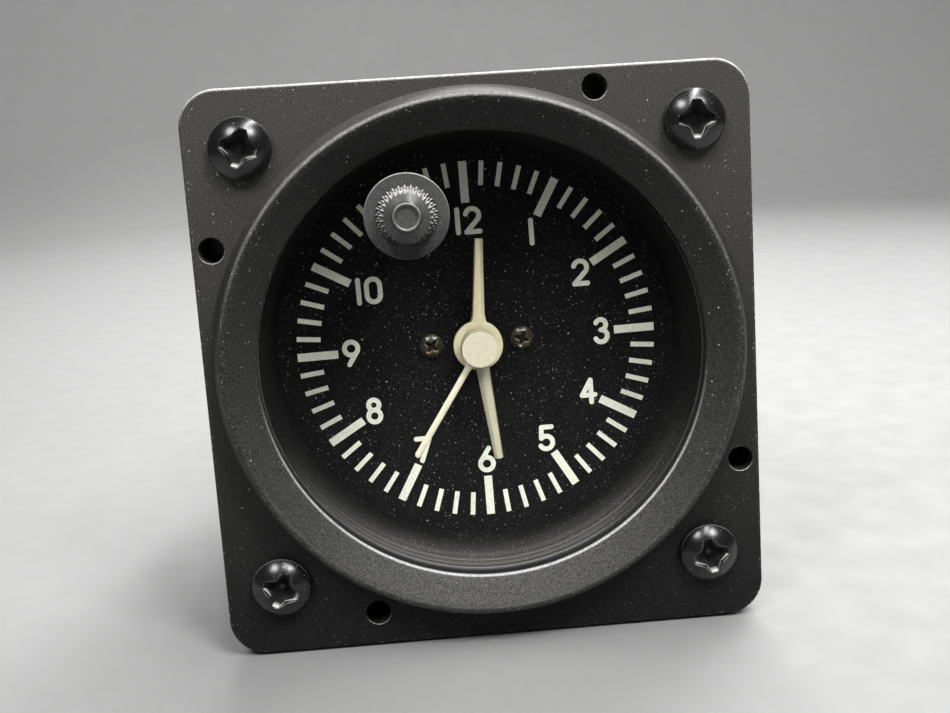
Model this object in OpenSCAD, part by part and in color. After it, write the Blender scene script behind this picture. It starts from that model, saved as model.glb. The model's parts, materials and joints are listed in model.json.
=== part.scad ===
// Panel clock for an aircraft: square flange, round case, quartz stepping movement.
// The origin is on the clock's axis at the flange's back face. +Z is up and the dial faces -Y.
// Inside facing(), x is to the right, y is up and z points from the clock towards the viewer.

/* [Flange] */
// Reach of the flange past the bezel at each side
flange_side = 1.125; // [0.8:0.025:2.4]
// Reach of the flange past the bezel at the top
flange_above = 1.175; // [0.8:0.025:2.4]
// Reach of the flange past the bezel at the bottom
flange_below = 2.675; // [0.8:0.025:4.4]
// Thickness of the flange
flange_t = 3; // [2.4:0.1:4]
// Radius of the flange's corners
flange_corner_r = 3.9; // [2:0.1:5]
// Gap between the bezel and the heads of the mounting screws
screw_gap = 1.515; // [1:0.005:1.8]
// Diameter of the small through holes
side_hole_d = 2.7; // [2:0.1:3]
// Gap between the bezel and the small through holes
side_hole_gap = 0.725; // [0.5:0.025:0.9]
// Turn of the small through holes from the horizontal
side_hole_turn = 25.8; // [24:0.1:28]

/* [Mounting screws] */
// Thread diameter of the mounting screws
screw_d = 3.5; // [3:0.1:4]
// Length of the mounting screws under the head
screw_l = 12.7; // [9:0.1:20]
// Diameter of the screw heads
screw_head_d = 6.5; // [6:0.1:7]
// Height of the screw heads
screw_head_h = 2.4; // [2:0.1:3]
// Span of the cross recess
screw_recess_w = 3.7; // [3:0.1:4]
// Width of the cross recess's arms
screw_recess_t = 0.95; // [0.7:0.05:1.2]
// Depth of the neck that runs through the flange
screw_neck = 0.25; // [0.1:0.05:0.4]
// Depth of the cross recess
screw_recess_depth = 1.5; // [1:0.1:1.8]

/* [Case] */
// Outer diameter of the case
case_d = 55; // [54.6:0.1:56]
// Depth of the case behind the flange's back face
case_l = 36; // [35:0.5:48]
// Wall of the case
case_wall = 1.6; // [1.2:0.1:1.8]
// Width of the ledge that carries the movement
ledge_w = 1.7; // [1.2:0.1:2]
// Thickness of that ledge
ledge_t = 1.7; // [1:0.1:2]
// Length of the bosses for the cover's screws
boss_l = 7; // [5:0.5:7.5]
// Diameter of those bosses
boss_d = 4.8; // [4:0.1:5.2]
// Thickness of the rear cover
cover_t = 2; // [1.5:0.1:3]
// Thread diameter of the cover's screws
cover_screw_d = 2; // [1.6:0.1:2.4]

/* [Bezel and glass] */
// Step from the case out to the bezel's foot
bezel_step = 1.075; // [0.8:0.025:1.2]
// Lean of the bezel's flank, from its foot in to its front edge
bezel_lean = 1.175; // [0.8:0.025:1.6]
// Height of the bezel's front edge over the flange
bezel_h = 3.1; // [2.6:0.1:4]
// Radius of the bezel's front edge
bezel_edge_r = 0.35; // [0.2:0.05:0.5]
// Height of the lip over the flange
lip_h = 1.25; // [1:0.05:1.6]
// Thickness of the lip in front of the glass
lip_t = 0.85; // [0.6:0.05:1]
// Length of the bezel's spigot inside the case
spigot_l = 4.5; // [4:0.1:6]
// Wall of the spigot
spigot_wall = 0.85; // [0.7:0.05:1]
// Thickness of the glass
lens_t = 2; // [1.5:0.1:2.5]
// Thickness of the gasket behind the glass
gasket_t = 0.5; // [0.3:0.1:0.8]
// Width of that gasket, which the lip covers
gasket_w = 0.9; // [0.6:0.1:1.2]

/* [Dial] */
// Depth of the dial's face behind the flange's front
dial_depth = 12.1; // [11:0.1:13]
// Thickness of the dial
dial_t = 0.8; // [0.5:0.1:1.2]
// How far the wall round the dial narrows towards it
sleeve_taper = 0.9; // [0.5:0.1:1.2]
// Turn of the dial in its seat
dial_turn = 1; // [-2:0.1:2]
// Gap from that wall to the minute marks
track_gap = 2.2; // [1.6:0.1:2.8]
// Length of the five-minute marks
major_l = 4.7; // [4:0.1:5]
// Width of the five-minute marks
major_w = 0.94; // [0.7:0.02:1.1]
// Length of the minute marks
minor_l = 2.75; // [2:0.05:3]
// Width of the minute marks
minor_w = 0.55; // [0.4:0.01:0.7]
// Height of the numerals
numeral_h = 3.2; // [2.6:0.1:3.6]
// Width of the numerals
numeral_w = 2.1; // [1.7:0.1:2.3]
// Stroke width of the numerals
numeral_stroke = 0.56; // [0.4:0.02:0.7]
// Distance of the numerals inside the marks' outer ends, sideways
numeral_inset_x = 6.25; // [6.2:0.05:6.8]
// Distance of the numerals inside the marks' outer ends, upwards
numeral_inset_y = 6.75; // [6.5:0.05:7.1]
// Thickness of the marks
mark_t = 0.06; // [0.04:0.01:0.1]
// Distance of the dial screws from the centre
dial_screw_x = 5.3; // [4.8:0.1:6]
// Head diameter of the dial screws
dial_screw_head_d = 2.8; // [2.4:0.1:3]
// Thread diameter of the dial screws
dial_screw_d = 1.4; // [1.2:0.1:1.6]

/* [Hands] */
// Length of the hour hand
hour_l = 12.2; // [11:0.1:12.6]
// Length of the minute hand
minute_l = 13.2; // [12.8:0.1:14.4]
// Length of the seconds hand
seconds_l = 14.4; // [13:0.1:16]
// Diameter of the hour hand's hub
hour_hub_d = 5.7; // [5:0.1:6]
// Diameter of the minute hand's hub
minute_hub_d = 4.8; // [4:0.1:5.2]
// Diameter of the seconds hand's cap
seconds_cap_d = 4.1; // [3.6:0.1:4.6]
// Width of the hour and minute hands at the hub
hand_root_w = 1.6; // [1.2:0.1:2]
// Width of the hour and minute hands at the tip
hand_tip_w = 0.92; // [0.6:0.02:1.1]
// Width of the seconds hand
seconds_w = 0.7; // [0.5:0.05:0.9]
// Thickness of the hands
hand_t = 0.6; // [0.4:0.1:0.7]
// Height of the hour hand over the dial
hour_lift = 2.3; // [2:0.1:2.6]
// Step from one hand up to the next
hand_step = 1.3; // [1.1:0.1:1.5]
// Place of the hour hand, clockwise from the top
hour_at = 3.8; // [0:0.1:360]
// Place of the minute hand, clockwise from the top
minute_at = 173.4; // [0:0.1:360]
// Place of the seconds hand, clockwise from the top
seconds_at = 213.5; // [0:0.1:360]

/* [Setting knob] */
// Distance of the knob's axis from the clock's axis
set_r = 17.2; // [16.8:0.1:17.6]
// Direction of the knob's axis, anticlockwise from the right
set_angle = 114.2; // [112:0.1:116]
// Travel of the knob when it is pushed in
push_l = 2; // [1.9:0.05:2.1]
// Gap left between knob and glass when pushed in
knob_gap = 0.3; // [0.2:0.1:0.6]
// Diameter of the knob's skirt
skirt_d = 8.8; // [8:0.1:9.4]
// Thickness of the knob's skirt
skirt_t = 1; // [0.8:0.1:1.4]
// Diameter of the knob's knurled body
knob_d = 6.2; // [5.6:0.1:6.6]
// Height of the knob's knurled body
knob_h = 2.6; // [2:0.1:3.4]
// Height of the knob's domed front
knob_dome_h = 0.8; // [0.5:0.1:1.2]
// Outer diameter of the ring on the knob's front
knob_ring_d = 3; // [2.6:0.1:3.4]
// Width of that ring
knob_ring_w = 0.4; // [0.3:0.05:0.6]
// Depth of the knurl's grooves
knurl_depth = 0.16; // [0.1:0.02:0.24]
// Diameter of the setting shaft
shaft_d = 2; // [1.8:0.1:2.2]
// Outer diameter of the bush in the glass
bush_d = 4; // [3.8:0.1:4.6]

/* [Movement] */
// Thickness of the front plate
plate_t = 2.4; // [2:0.1:3]
// Thickness of the rear plate
rear_plate_t = 1.4; // [1:0.1:1.8]
// Thickness of the motion-work wheels
motion_t = 0.6; // [0.5:0.05:0.7]
// Thickness of the train wheels
train_t = 0.5; // [0.4:0.05:0.6]
// Gap from one wheel to the next
wheel_gap = 1.1; // [0.9:0.1:1.3]
// Module of the motion-work teeth
motion_m = 0.3; // [0.29:0.005:0.31]
// Module of the third wheel's teeth
third_m = 0.2; // [0.19:0.005:0.21]
// Module of the seconds wheel's teeth
seconds_m = 0.26; // [0.25:0.005:0.27]
// Module of the rotor pinion's teeth
rotor_m = 0.2; // [0.19:0.005:0.21]
// Diameter of the arbors
arbor_d = 1; // [0.9:0.05:1.1]
// Diameter of the pivots
pivot_d = 0.6; // [0.5:0.05:0.7]
// Distance of the rotor from the rear plate's edge
rotor_inset = 8.9; // [8.6:0.1:9.2]
// Diameter of the rotor's magnet
magnet_d = 4; // [3.6:0.1:4.4]
// Length of the rotor's magnet
magnet_l = 3; // [2.5:0.1:3.2]
// Diameter of the coil
coil_d = 3.8; // [3.2:0.1:4.2]
// Length of the coil
coil_l = 9.6; // [8:0.1:10]
// Diameter of the plate pillars
pillar_d = 3.2; // [2.8:0.1:3.6]
// Distance of the pillars from the rear plate's edge
pillar_inset = 2.9; // [2.4:0.1:3.2]
// Thickness of the circuit board
board_t = 1.2; // [0.8:0.1:1.6]
// Gap between rear plate and circuit board
board_gap = 1.8; // [1.5:0.1:2.5]
// Diameter of the circuit board
board_d = 40.8; // [39:0.1:41]

/* [Terminals] */
// Thread diameter of the terminal studs
stud_d = 4.16; // [3.5:0.02:4.8]
// Length of the studs behind the cover
stud_l = 11.5; // [10:0.1:14]
// Distance of the studs from the middle, sideways
stud_x = 8; // [7:0.1:10]
// Height of the studs over the clock's axis
stud_y = 10; // [8:0.1:12]
// Step from the studs' threads up to their shanks, on the radius
shank_step = 0.3; // [0.2:0.05:0.4]
// Thickness of the insulators' flanges
insulator_t = 0.8; // [0.5:0.1:1.2]
// Height of the terminal nuts
nut_h = 2.6; // [2:0.1:3.2]
// Width of the terminal nuts across the flats
nut_w = 7; // [6.4:0.1:8]

/* [Clearances] */
// Clearance of turning parts, on the radius
run = 0.05; // [0.03:0.01:0.08]
// Clearance of parts that are put together, on the radius
fit = 0.1; // [0.05:0.01:0.15]
// End play of turning parts
shake = 0.1; // [0.06:0.01:0.15]

/* [Hidden] */
$fn = 64;
// Overshoot of cuts past the faces that they go through
over = 0.5;

// Levels from front to back
bezel_front = flange_t + bezel_h;
lip_front = flange_t + lip_h;
lens_front = lip_front - lip_t;
lens_back = lens_front - lens_t;
sleeve_front = lens_back - gasket_t;
dial_front = flange_t - dial_depth;
dial_back = dial_front - dial_t;
plate_back = dial_back - plate_t;
hour_z1 = plate_back - wheel_gap - 2 * shake;
hour_z0 = hour_z1 - motion_t;
motion_z1 = hour_z0 - motion_t;
motion_z0 = motion_z1 - motion_t;
centre_z1 = motion_z0 - wheel_gap;
centre_z0 = centre_z1 - train_t;
third_z1 = centre_z0 - wheel_gap;
third_z0 = third_z1 - train_t;
seconds_z1 = third_z0 - wheel_gap;
seconds_z0 = seconds_z1 - train_t;
inter_z1 = seconds_z0 - wheel_gap;
inter_z0 = inter_z1 - train_t;
rear_front = inter_z0 - motion_t;
rear_back = rear_front - rear_plate_t;
board_front = rear_back - board_gap;
board_back = board_front - board_t;
cover_gasket_t = 0.5;
cover_front = -case_l - cover_gasket_t;
cover_back = cover_front - cover_t;

// Outlines that follow the case
bezel_d = case_d + 2 * bezel_step;
bezel_edge_d = bezel_d - 2 * bezel_lean;
flange_w = bezel_d + 2 * flange_side;
flange_top = bezel_d / 2 + flange_above;
flange_bottom = bezel_d / 2 + flange_below;
screw_spacing = (bezel_d / 2 + screw_gap + screw_head_d / 2) * sqrt(2);
side_hole_pcd = bezel_d + 2 * side_hole_gap + side_hole_d;

// Radii that fit inside each other
bore_r = case_d / 2 - case_wall;
ledge_r = bore_r - ledge_w;
spigot_r = bore_r - fit / 2;
seat_r = spigot_r - spigot_wall;
lens_r = seat_r - fit;
lip_r = lens_r - gasket_w;
dial_open_r = lip_r - sleeve_taper;
track_r = dial_open_r - track_gap;
numeral_x = track_r - numeral_inset_x;
numeral_y = track_r - numeral_inset_y;
plate_r = bore_r - fit;
movement_gap = 0.8;
rear_plate_r = ledge_r - movement_gap;
rotor_r = rear_plate_r - rotor_inset;
pillar_r = rear_plate_r - pillar_inset;
boss_ring_r = bore_r - boss_d / 3;
shaft_r = shaft_d / 2;
arbor_r = arbor_d / 2;
pivot_r = pivot_d / 2;
pivot_l = 1;
seconds_r = 0.4;
pipe_wall = 0.42;
centre_pipe_r = seconds_r + run + pipe_wall;
cannon_bore_r = centre_pipe_r + run;
cannon_r = cannon_bore_r + pipe_wall;
hour_bore_r = cannon_r + run;
hour_pipe_r = hour_bore_r + pipe_wall;

// Teeth of each wheel: the ratios make 60 between seconds and minutes, and 12 between minutes and hours
cannon_n = 12;
motion_n = 48;
motion_pinion_n = 15;
hour_n = 45;
set_n = 16;
pinion_n = 12;
third_n = 96;
centre_n = 90;
seconds_n = 72;
inter_n = 60;
knurl_n = 40;

// Centre distances, and the modules that follow from them
motion_c = motion_m * (cannon_n + motion_n) / 2;
hour_m = 2 * motion_c / (motion_pinion_n + hour_n);
set_c = motion_m * (set_n + motion_n) / 2;
third_c = third_m * (pinion_n + third_n) / 2;
centre_m = 2 * third_c / (pinion_n + centre_n);
inter_c = seconds_m * (pinion_n + seconds_n) / 2;
rotor_c = rotor_m * (pinion_n + inter_n) / 2;

function corner_angle(a, b, opposite) = acos((a * a + b * b - opposite * opposite) / (2 * a * b));
function polar(r, a) = [r * cos(a), r * sin(a)];
function heading(from, to) = atan2(to[1] - from[1], to[0] - from[0]);

// Places of the arbors
axis_at = [0, 0];
set_pos = polar(set_r, set_angle);
motion_pos = polar(motion_c, set_angle + corner_angle(motion_c, set_r, set_c));
third_pos = polar(third_c, -90);
rotor_pos = [rotor_r, 0];
inter_pos = polar(inter_c, corner_angle(inter_c, rotor_r, rotor_c));

// Turn that puts a gear with n2 teeth in mesh with one of n1 teeth turned by phase1
function mesh_turn(from, to, n1, phase1, n2) =
    let (line = heading(from, to))
    line + 180 - (0.5 - (line - phase1) * n1 / 360) * 360 / n2;

motion_turn = mesh_turn(axis_at, motion_pos, cannon_n, 0, motion_n);
motion_pinion_turn = motion_turn;
hour_turn = mesh_turn(motion_pos, axis_at, motion_pinion_n, motion_pinion_turn, hour_n);
set_turn = mesh_turn(motion_pos, set_pos, motion_n, motion_turn, set_n);
third_turn = mesh_turn(axis_at, third_pos, pinion_n, 0, third_n);
centre_turn = mesh_turn(third_pos, axis_at, pinion_n, third_turn, centre_n);
inter_pinion_turn = mesh_turn(axis_at, inter_pos, seconds_n, 0, pinion_n);
rotor_turn = mesh_turn(inter_pos, rotor_pos, inter_n, inter_pinion_turn, pinion_n);

// Places of pieces that come in sets
screw_places = [for (x = [-1, 1], y = [-1, 1]) [x, y] * screw_spacing / 2];
screw_turns = [24, 18, -12, 0];
side_holes = [for (k = [0:3]) polar(side_hole_pcd / 2, 90 * k - side_hole_turn)];
boss_places = [for (k = [0:3]) polar(boss_ring_r, 90 * k)];
pillar_places = [for (a = [60, 160, 215, 320]) polar(pillar_r, a)];
standoff_places = [for (a = [100, 200, 325]) polar(board_d / 2 - 3, a)];
stud_places = [[-stud_x, stud_y], [stud_x, stud_y]];
dial_screw_places = [for (k = [0, 1]) polar(dial_screw_x, dial_turn + 180 * k)];

// Colours
black = [0.09, 0.09, 0.095];
steel = [0.62, 0.63, 0.65];
brass = [0.78, 0.62, 0.32];
ivory = [0.9, 0.87, 0.78];

// Shapes that repeat
module facing() rotate([90, 0, 0]) children();

module disc(r, z0, z1) translate([0, 0, z0]) cylinder(r = r, h = z1 - z0);

module ring(r_out, r_in, z0, z1) {
    difference() {
        disc(r_out, z0, z1);
        disc(r_in, z0 - over, z1 + over);
    }
}

module at(p) translate([p[0], p[1], 0]) children();

module at_each(places) for (p = places) at(p) children();

function tooth(n, m, a) =
    let (
        pitch = 360 / n,
        root = m * (n / 2 - 1.15),
        tip = m * (n / 2 + 0.7)
    )
    [
        polar(root, a - 0.22 * pitch),
        polar(tip, a - 0.07 * pitch),
        polar(tip, a + 0.07 * pitch),
        polar(root, a + 0.22 * pitch)
    ];

module gear(n, m, turn, z0, z1) {
    outline = [for (i = [0:n - 1]) each tooth(n, m, turn + i * 360 / n)];
    translate([0, 0, z0]) linear_extrude(z1 - z0) polygon(outline);
}

// A large wheel with round openings between hub and rim
module wheel(n, m, turn, z0, z1, bore_r) {
    rim_r = m * n / 2;
    difference() {
        gear(n, m, turn, z0, z1);
        disc(bore_r, z0 - over, z1 + over);
        for (k = [0:4]) rotate(72 * k) translate([0.6 * rim_r, 0, 0]) disc(0.21 * rim_r, z0 - over, z1 + over);
    }
}

// Arbor between the two plates, with a pivot at each end
module arbor() {
    disc(arbor_r, rear_front + shake, plate_back - shake);
    disc(pivot_r, rear_front - pivot_l, plate_back + pivot_l);
}

module cross_recess(w, t, depth) {
    for (a = [0, 90]) rotate(a) translate([-w / 2, -t / 2, -depth]) cube([w, t, depth + over]);
}

// Domed screw head standing on z = 0
module pan_head(d, h) {
    edge = 0.35 * h;
    dome_r = ((d / 2) ^ 2 + (h - edge) ^ 2) / (2 * (h - edge));
    intersection() {
        disc(d / 2, 0, h);
        translate([0, 0, h - dome_r]) sphere(dome_r, $fn = 96);
    }
}

// Flange and case
module flange_outline() {
    side = flange_w / 2 - flange_corner_r;
    low = -flange_bottom + flange_corner_r;
    high = flange_top - flange_corner_r;
    translate([-flange_w / 2, low]) square([flange_w, high - low]);
    translate([-side, -flange_bottom]) square([2 * side, flange_top + flange_bottom]);
    for (x = [-side, side], y = [low, high]) translate([x, y]) circle(flange_corner_r);
}

module case_shell() {
    difference() {
        union() {
            linear_extrude(flange_t) flange_outline();
            disc(case_d / 2, -case_l, flange_t / 2);
        }
        disc(bore_r, plate_back, flange_t + over);
        disc(ledge_r, plate_back - ledge_t - over, plate_back + over);
        disc(bore_r, -case_l - over, plate_back - ledge_t);
    }
}

module case() color(black) facing() {
    difference() {
        union() {
            case_shell();
            at_each(boss_places) disc(boss_d / 2, -case_l, -case_l + boss_l);
        }
        at_each(screw_places) disc(screw_d / 2 + fit, -over, flange_t + over);
        at_each(side_holes) disc(side_hole_d / 2, -over, flange_t + over);
        at_each(boss_places) disc(cover_screw_d / 2, -case_l - over, -case_l + boss_l + over);
    }
}

module mounting_screws() color([0.16, 0.16, 0.17]) facing() {
    for (i = [0:3]) at(screw_places[i]) {
        difference() {
            union() {
                translate([0, 0, flange_t]) pan_head(screw_head_d, screw_head_h);
                disc(screw_d / 2, flange_t - screw_l, 0);
                disc(screw_d / 2 - screw_neck, -over, flange_t + screw_head_h / 2);
            }
            translate([0, 0, flange_t + screw_head_h]) rotate(-screw_turns[i])
                cross_recess(screw_recess_w, screw_recess_t, screw_recess_depth);
        }
    }
}

// Bezel and glass
module bezel_ring() color(black) facing() {
    edge_r = bezel_edge_d / 2;
    round_c = [edge_r - bezel_edge_r, bezel_front - bezel_edge_r];
    edge_arc = [for (a = [20:20:120]) round_c + polar(bezel_edge_r, a)];
    foot_h = bezel_h / 8;
    rotate_extrude($fn = 160) polygon(concat(
        [[spigot_r, flange_t - spigot_l], [spigot_r, flange_t]],
        [[bezel_d / 2, flange_t], [bezel_d / 2, flange_t + foot_h]],
        edge_arc,
        [[lip_r + lip_t / 3, lip_front], [lip_r, lip_front - lip_t / 3], [lip_r, lens_front]],
        [[seat_r, lens_front], [seat_r, flange_t - spigot_l]]
    ));
}

module lens() color([0.8, 0.85, 0.85, 0.3]) facing() {
    difference() {
        disc(lens_r, lens_back, lens_front);
        at(set_pos) disc(bush_d / 2, lens_back - over, lens_front + over);
    }
}

module lens_gasket() color([0.05, 0.05, 0.05]) facing() {
    ring(lens_r, lip_r, sleeve_front, lens_back);
}

module dial_sleeve() color([0.07, 0.07, 0.07]) facing() {
    rotate_extrude($fn = 128) polygon([
        [lens_r, sleeve_front],
        [lip_r, sleeve_front],
        [dial_open_r, dial_front],
        [lens_r, dial_front]
    ]);
}

module shaft_bush() color(steel) facing() at(set_pos) {
    groove_r = shaft_r + o_ring_w + fit;
    flange_h = knob_gap;
    difference() {
        union() {
            disc(bush_d / 2, lens_back - bush_nut_h, lens_front);
            disc(bush_d / 2 + bush_flange_w, lens_front, lens_front + flange_h);
        }
        disc(shaft_r + run, lens_back - bush_nut_h - over, lens_front + flange_h + over);
        disc(groove_r, o_ring_z - o_ring_w / 2 - fit, o_ring_z + o_ring_w / 2 + fit);
    }
}
bush_flange_w = 0.8;
bush_nut_w = 1.2;
bush_nut_h = 1;
o_ring_w = 0.6;
o_ring_z = (lens_front + lens_back) / 2;

module bush_nut() color(brass) facing() at(set_pos) {
    difference() {
        translate([0, 0, lens_back - bush_nut_h]) cylinder(r = bush_d / 2 + bush_nut_w, h = bush_nut_h, $fn = 6);
        disc(bush_d / 2, lens_back - bush_nut_h - over, lens_back + over);
    }
}

module shaft_o_ring() color([0.04, 0.04, 0.04]) facing() at(set_pos) {
    translate([0, 0, o_ring_z]) rotate_extrude($fn = 48)
        translate([shaft_r + run / 2 + o_ring_w / 2, 0]) circle(o_ring_w / 2, $fn = 24);
}

// Dial
module dial() color([0.05, 0.05, 0.052]) facing() {
    difference() {
        disc(plate_r, dial_back, dial_front);
        disc(hour_pipe_r + 2 * fit, dial_back - over, dial_front + over);
        at(set_pos) disc(shaft_r + 2 * fit, dial_back - over, dial_front + over);
        at_each(dial_screw_places) disc(dial_screw_d / 2 + fit, dial_back - over, dial_front + over);
    }
}

// Strokes with round ends, for the numerals
module stroke(a, b) {
    for (p = [a, b]) translate(p) circle(numeral_stroke / 2, $fn = 24);
    translate(a) rotate(heading(a, b)) translate([0, -numeral_stroke / 2])
        square([norm(b - a), numeral_stroke]);
}

module arc_stroke(c, r, a0, a1) {
    reach = 3 * r;
    span = a1 - a0;
    translate(c) {
        intersection() {
            difference() {
                circle(r + numeral_stroke / 2, $fn = 48);
                circle(r - numeral_stroke / 2, $fn = 48);
            }
            polygon(concat([[0, 0]], [for (i = [0:6]) polar(reach, a0 + span * i / 6)]));
        }
        for (a = [a0, a1]) translate(polar(r, a)) circle(numeral_stroke / 2, $fn = 24);
    }
}

module loop_stroke(c, r) translate(c) difference() {
    circle(r + numeral_stroke / 2, $fn = 48);
    circle(r - numeral_stroke / 2, $fn = 48);
}

// A digit drawn on the centre lines of its strokes
module digit(k) {
    w = (numeral_w - numeral_stroke) / 2;
    h = (numeral_h - numeral_stroke) / 2;
    if (k == 0) {
        for (s = [-1, 1]) arc_stroke([0, s * (h - w)], w, 90 - 90 * s, 270 - 90 * s);
        for (s = [-1, 1]) stroke([s * w, w - h], [s * w, h - w]);
    }
    if (k == 1) stroke([0, -h], [0, h]);
    if (k == 2) {
        arc_stroke([0, h - w], w, -38, 165);
        stroke([0, h - w] + polar(w, -38), [-w, -h]);
        stroke([-w, -h], [w, -h]);
    }
    if (k == 3) {
        arc_stroke([0, h - 0.46 * h], 0.46 * h, -90, 155);
        arc_stroke([0, -h + 0.54 * h], 0.54 * h, -155, 90);
    }
    if (k == 4) {
        stroke([0.4 * w, -h], [0.4 * w, h]);
        stroke([0.4 * w, h], [-w, -0.35 * h]);
        stroke([-w, -0.35 * h], [w, -0.35 * h]);
    }
    if (k == 5) {
        stroke([-0.7 * w, h], [0.85 * w, h]);
        stroke([-0.7 * w, h], [-0.8 * w, 0.1 * h]);
        arc_stroke([-0.1 * w, w - h], w, -150, 135);
    }
    if (k == 6 || k == 9) rotate(k == 9 ? 180 : 0) {
        loop_stroke([0, w - h], w);
        stroke([-0.92 * w, 1.4 * w - h], [0.45 * w, h]);
    }
    if (k == 7) {
        stroke([-w, h], [w, h]);
        stroke([w, h], [-0.35 * w, -h]);
    }
    if (k == 8) {
        loop_stroke([0, 0.54 * h], 0.46 * h);
        loop_stroke([0, -0.46 * h], 0.54 * h);
    }
}

module numeral(k) {
    step = 0.82 * numeral_w;
    if (k < 10) digit(k);
    if (k >= 10) {
        translate([-0.62 * step, 0]) digit(1);
        translate([0.38 * step, 0]) digit(k - 10);
    }
}

module dial_marks() color(ivory) facing() translate([0, 0, dial_front]) rotate(dial_turn) {
    shaft_minute = 56;
    for (k = [0:59]) if (k != shaft_minute) {
        long = k % 5 == 0;
        size = long ? [major_w, major_l] : [minor_w, minor_l];
        rotate(-6 * k) translate([-size[0] / 2, track_r - size[1], 0]) cube([size[0], size[1], mark_t]);
    }
    linear_extrude(mark_t) for (k = [1:12]) if (k != 11) {
        inset = k == 10 ? numeral_w / 3 : 0;
        translate([(numeral_x - inset) * sin(30 * k), numeral_y * cos(30 * k)]) numeral(k);
    }
}

module dial_screws() color([0.3, 0.24, 0.17]) facing() {
    head_h = 0.32 * dial_screw_head_d;
    at_each(dial_screw_places) difference() {
        union() {
            translate([0, 0, dial_front]) pan_head(dial_screw_head_d, head_h);
            disc(dial_screw_d / 2, plate_back + plate_t / 4, dial_front + head_h / 2);
        }
        translate([0, 0, dial_front + head_h]) rotate(15)
            cross_recess(0.55 * dial_screw_head_d, 0.15 * dial_screw_head_d, 0.6 * head_h);
    }
}

// Hands
hour_hand_z = dial_front + hour_lift;
minute_hand_z = hour_hand_z + hand_step;
seconds_hand_z = minute_hand_z + hand_step;
seconds_hub_r = 1.2;
seconds_cap_h = 0.9;

module blade(l, root_w, tip_w) {
    polygon([[-root_w / 2, 0], [-tip_w / 2, l], [tip_w / 2, l], [root_w / 2, 0]]);
}

module hand(l, hub_r, bore_r, z, place) rotate(-place) difference() {
    union() {
        disc(hub_r, z, z + hand_t);
        translate([0, 0, z]) linear_extrude(hand_t) blade(l, hand_root_w, hand_tip_w);
    }
    disc(bore_r, z - over, z + hand_t + over);
}

module hour_hand() color(ivory) facing() hand(hour_l, hour_hub_d / 2, hour_pipe_r, hour_hand_z, hour_at);

module minute_hand() color(ivory) facing()
    hand(minute_l, minute_hub_d / 2, cannon_r, minute_hand_z, minute_at);

module seconds_hand() color(ivory) facing() rotate(-seconds_at) {
    cap_z = seconds_hand_z + hand_t / 2;
    difference() {
        union() {
            translate([0, 0, seconds_hand_z]) linear_extrude(hand_t / 2) {
                blade(seconds_l - seconds_w / 2, seconds_w, seconds_w);
                translate([0, seconds_l - seconds_w / 2]) circle(seconds_w / 2, $fn = 32);
            }
            disc(seconds_hub_r, seconds_hand_z - hand_t / 2, cap_z);
            translate([0, 0, cap_z]) pan_head(seconds_cap_d, seconds_cap_h);
        }
        disc(seconds_r, seconds_hand_z - hand_t, cap_z);
    }
}

// Setting knob, its shaft and spring
knob_back = lens_front + push_l + knob_gap;
knob_top = knob_back + skirt_t + knob_h;
set_pinion_z1 = plate_back - shake;
set_pinion_z0 = set_pinion_z1 - 2 * train_t;
washer_z1 = set_pinion_z0 - shake;
washer_z0 = washer_z1 - 0.4;
tail_r = 0.6;
spring_wire_r = 0.15;
spring_r = tail_r + 0.55;
spring_turns = 7;

module set_knob() color(black) facing() at(set_pos) {
    groove = [for (i = [0:knurl_n - 1]) each [
        polar(knob_d / 2, i * 360 / knurl_n),
        polar(knob_d / 2 - knurl_depth, (i + 0.5) * 360 / knurl_n)
    ]];
    difference() {
        union() {
            disc(skirt_d / 2, knob_back, knob_back + skirt_t);
            translate([0, 0, knob_back + skirt_t]) linear_extrude(knob_h) polygon(groove);
            translate([0, 0, knob_top]) pan_head(knob_d - 4 * knurl_depth, knob_dome_h);
            ring(knob_ring_d / 2, knob_ring_d / 2 - knob_ring_w, knob_top, knob_top + knob_dome_h + 0.15);
        }
        disc(bush_d / 2 + bush_nut_w, knob_back - over, knob_back + skirt_t / 2);
        disc(shaft_r, knob_back - over, knob_back + skirt_t + knob_h / 2);
    }
}

module set_shaft() color(steel) facing() at(set_pos) {
    disc(shaft_r, set_pinion_z0, knob_back + skirt_t + knob_h / 2);
    disc(tail_r, washer_z0 - push_l / 2, set_pinion_z0);
}

module set_pinion() color(brass) facing() at(set_pos) difference() {
    gear(set_n, motion_m, set_turn, set_pinion_z0, set_pinion_z1);
    disc(shaft_r, set_pinion_z0 - over, set_pinion_z1 + over);
}

module spring_washer() color(steel) facing() at(set_pos)
    ring(spring_r + 2 * spring_wire_r, tail_r + run, washer_z0, washer_z1);

// One unbroken wire: rings of points along a helix, joined by triangles
module set_spring() color(steel) facing() at(set_pos) {
    sides = 6;
    steps = 8 * spring_turns;
    z_low = rear_front + spring_wire_r;
    z_high = washer_z0 - spring_wire_r;
    points = [
        for (i = [0:steps], j = [0:sides - 1])
            let (
                a = 360 * spring_turns * i / steps,
                b = 360 * j / sides,
                r = spring_r + spring_wire_r * cos(b)
            )
            [r * cos(a), r * sin(a), z_low + (z_high - z_low) * i / steps + spring_wire_r * sin(b)]
    ];
    walls = [
        for (i = [0:steps - 1], j = [0:sides - 1])
            let (p = i * sides + j, q = i * sides + (j + 1) % sides)
            each [[p, p + sides, q], [q, p + sides, q + sides]]
    ];
    start = [for (j = [1:sides - 2]) [0, j, j + 1]];
    last = steps * sides;
    end = [for (j = [1:sides - 2]) [last, last + j + 1, last + j]];
    polyhedron(points, concat(walls, start, end));
}

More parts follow.
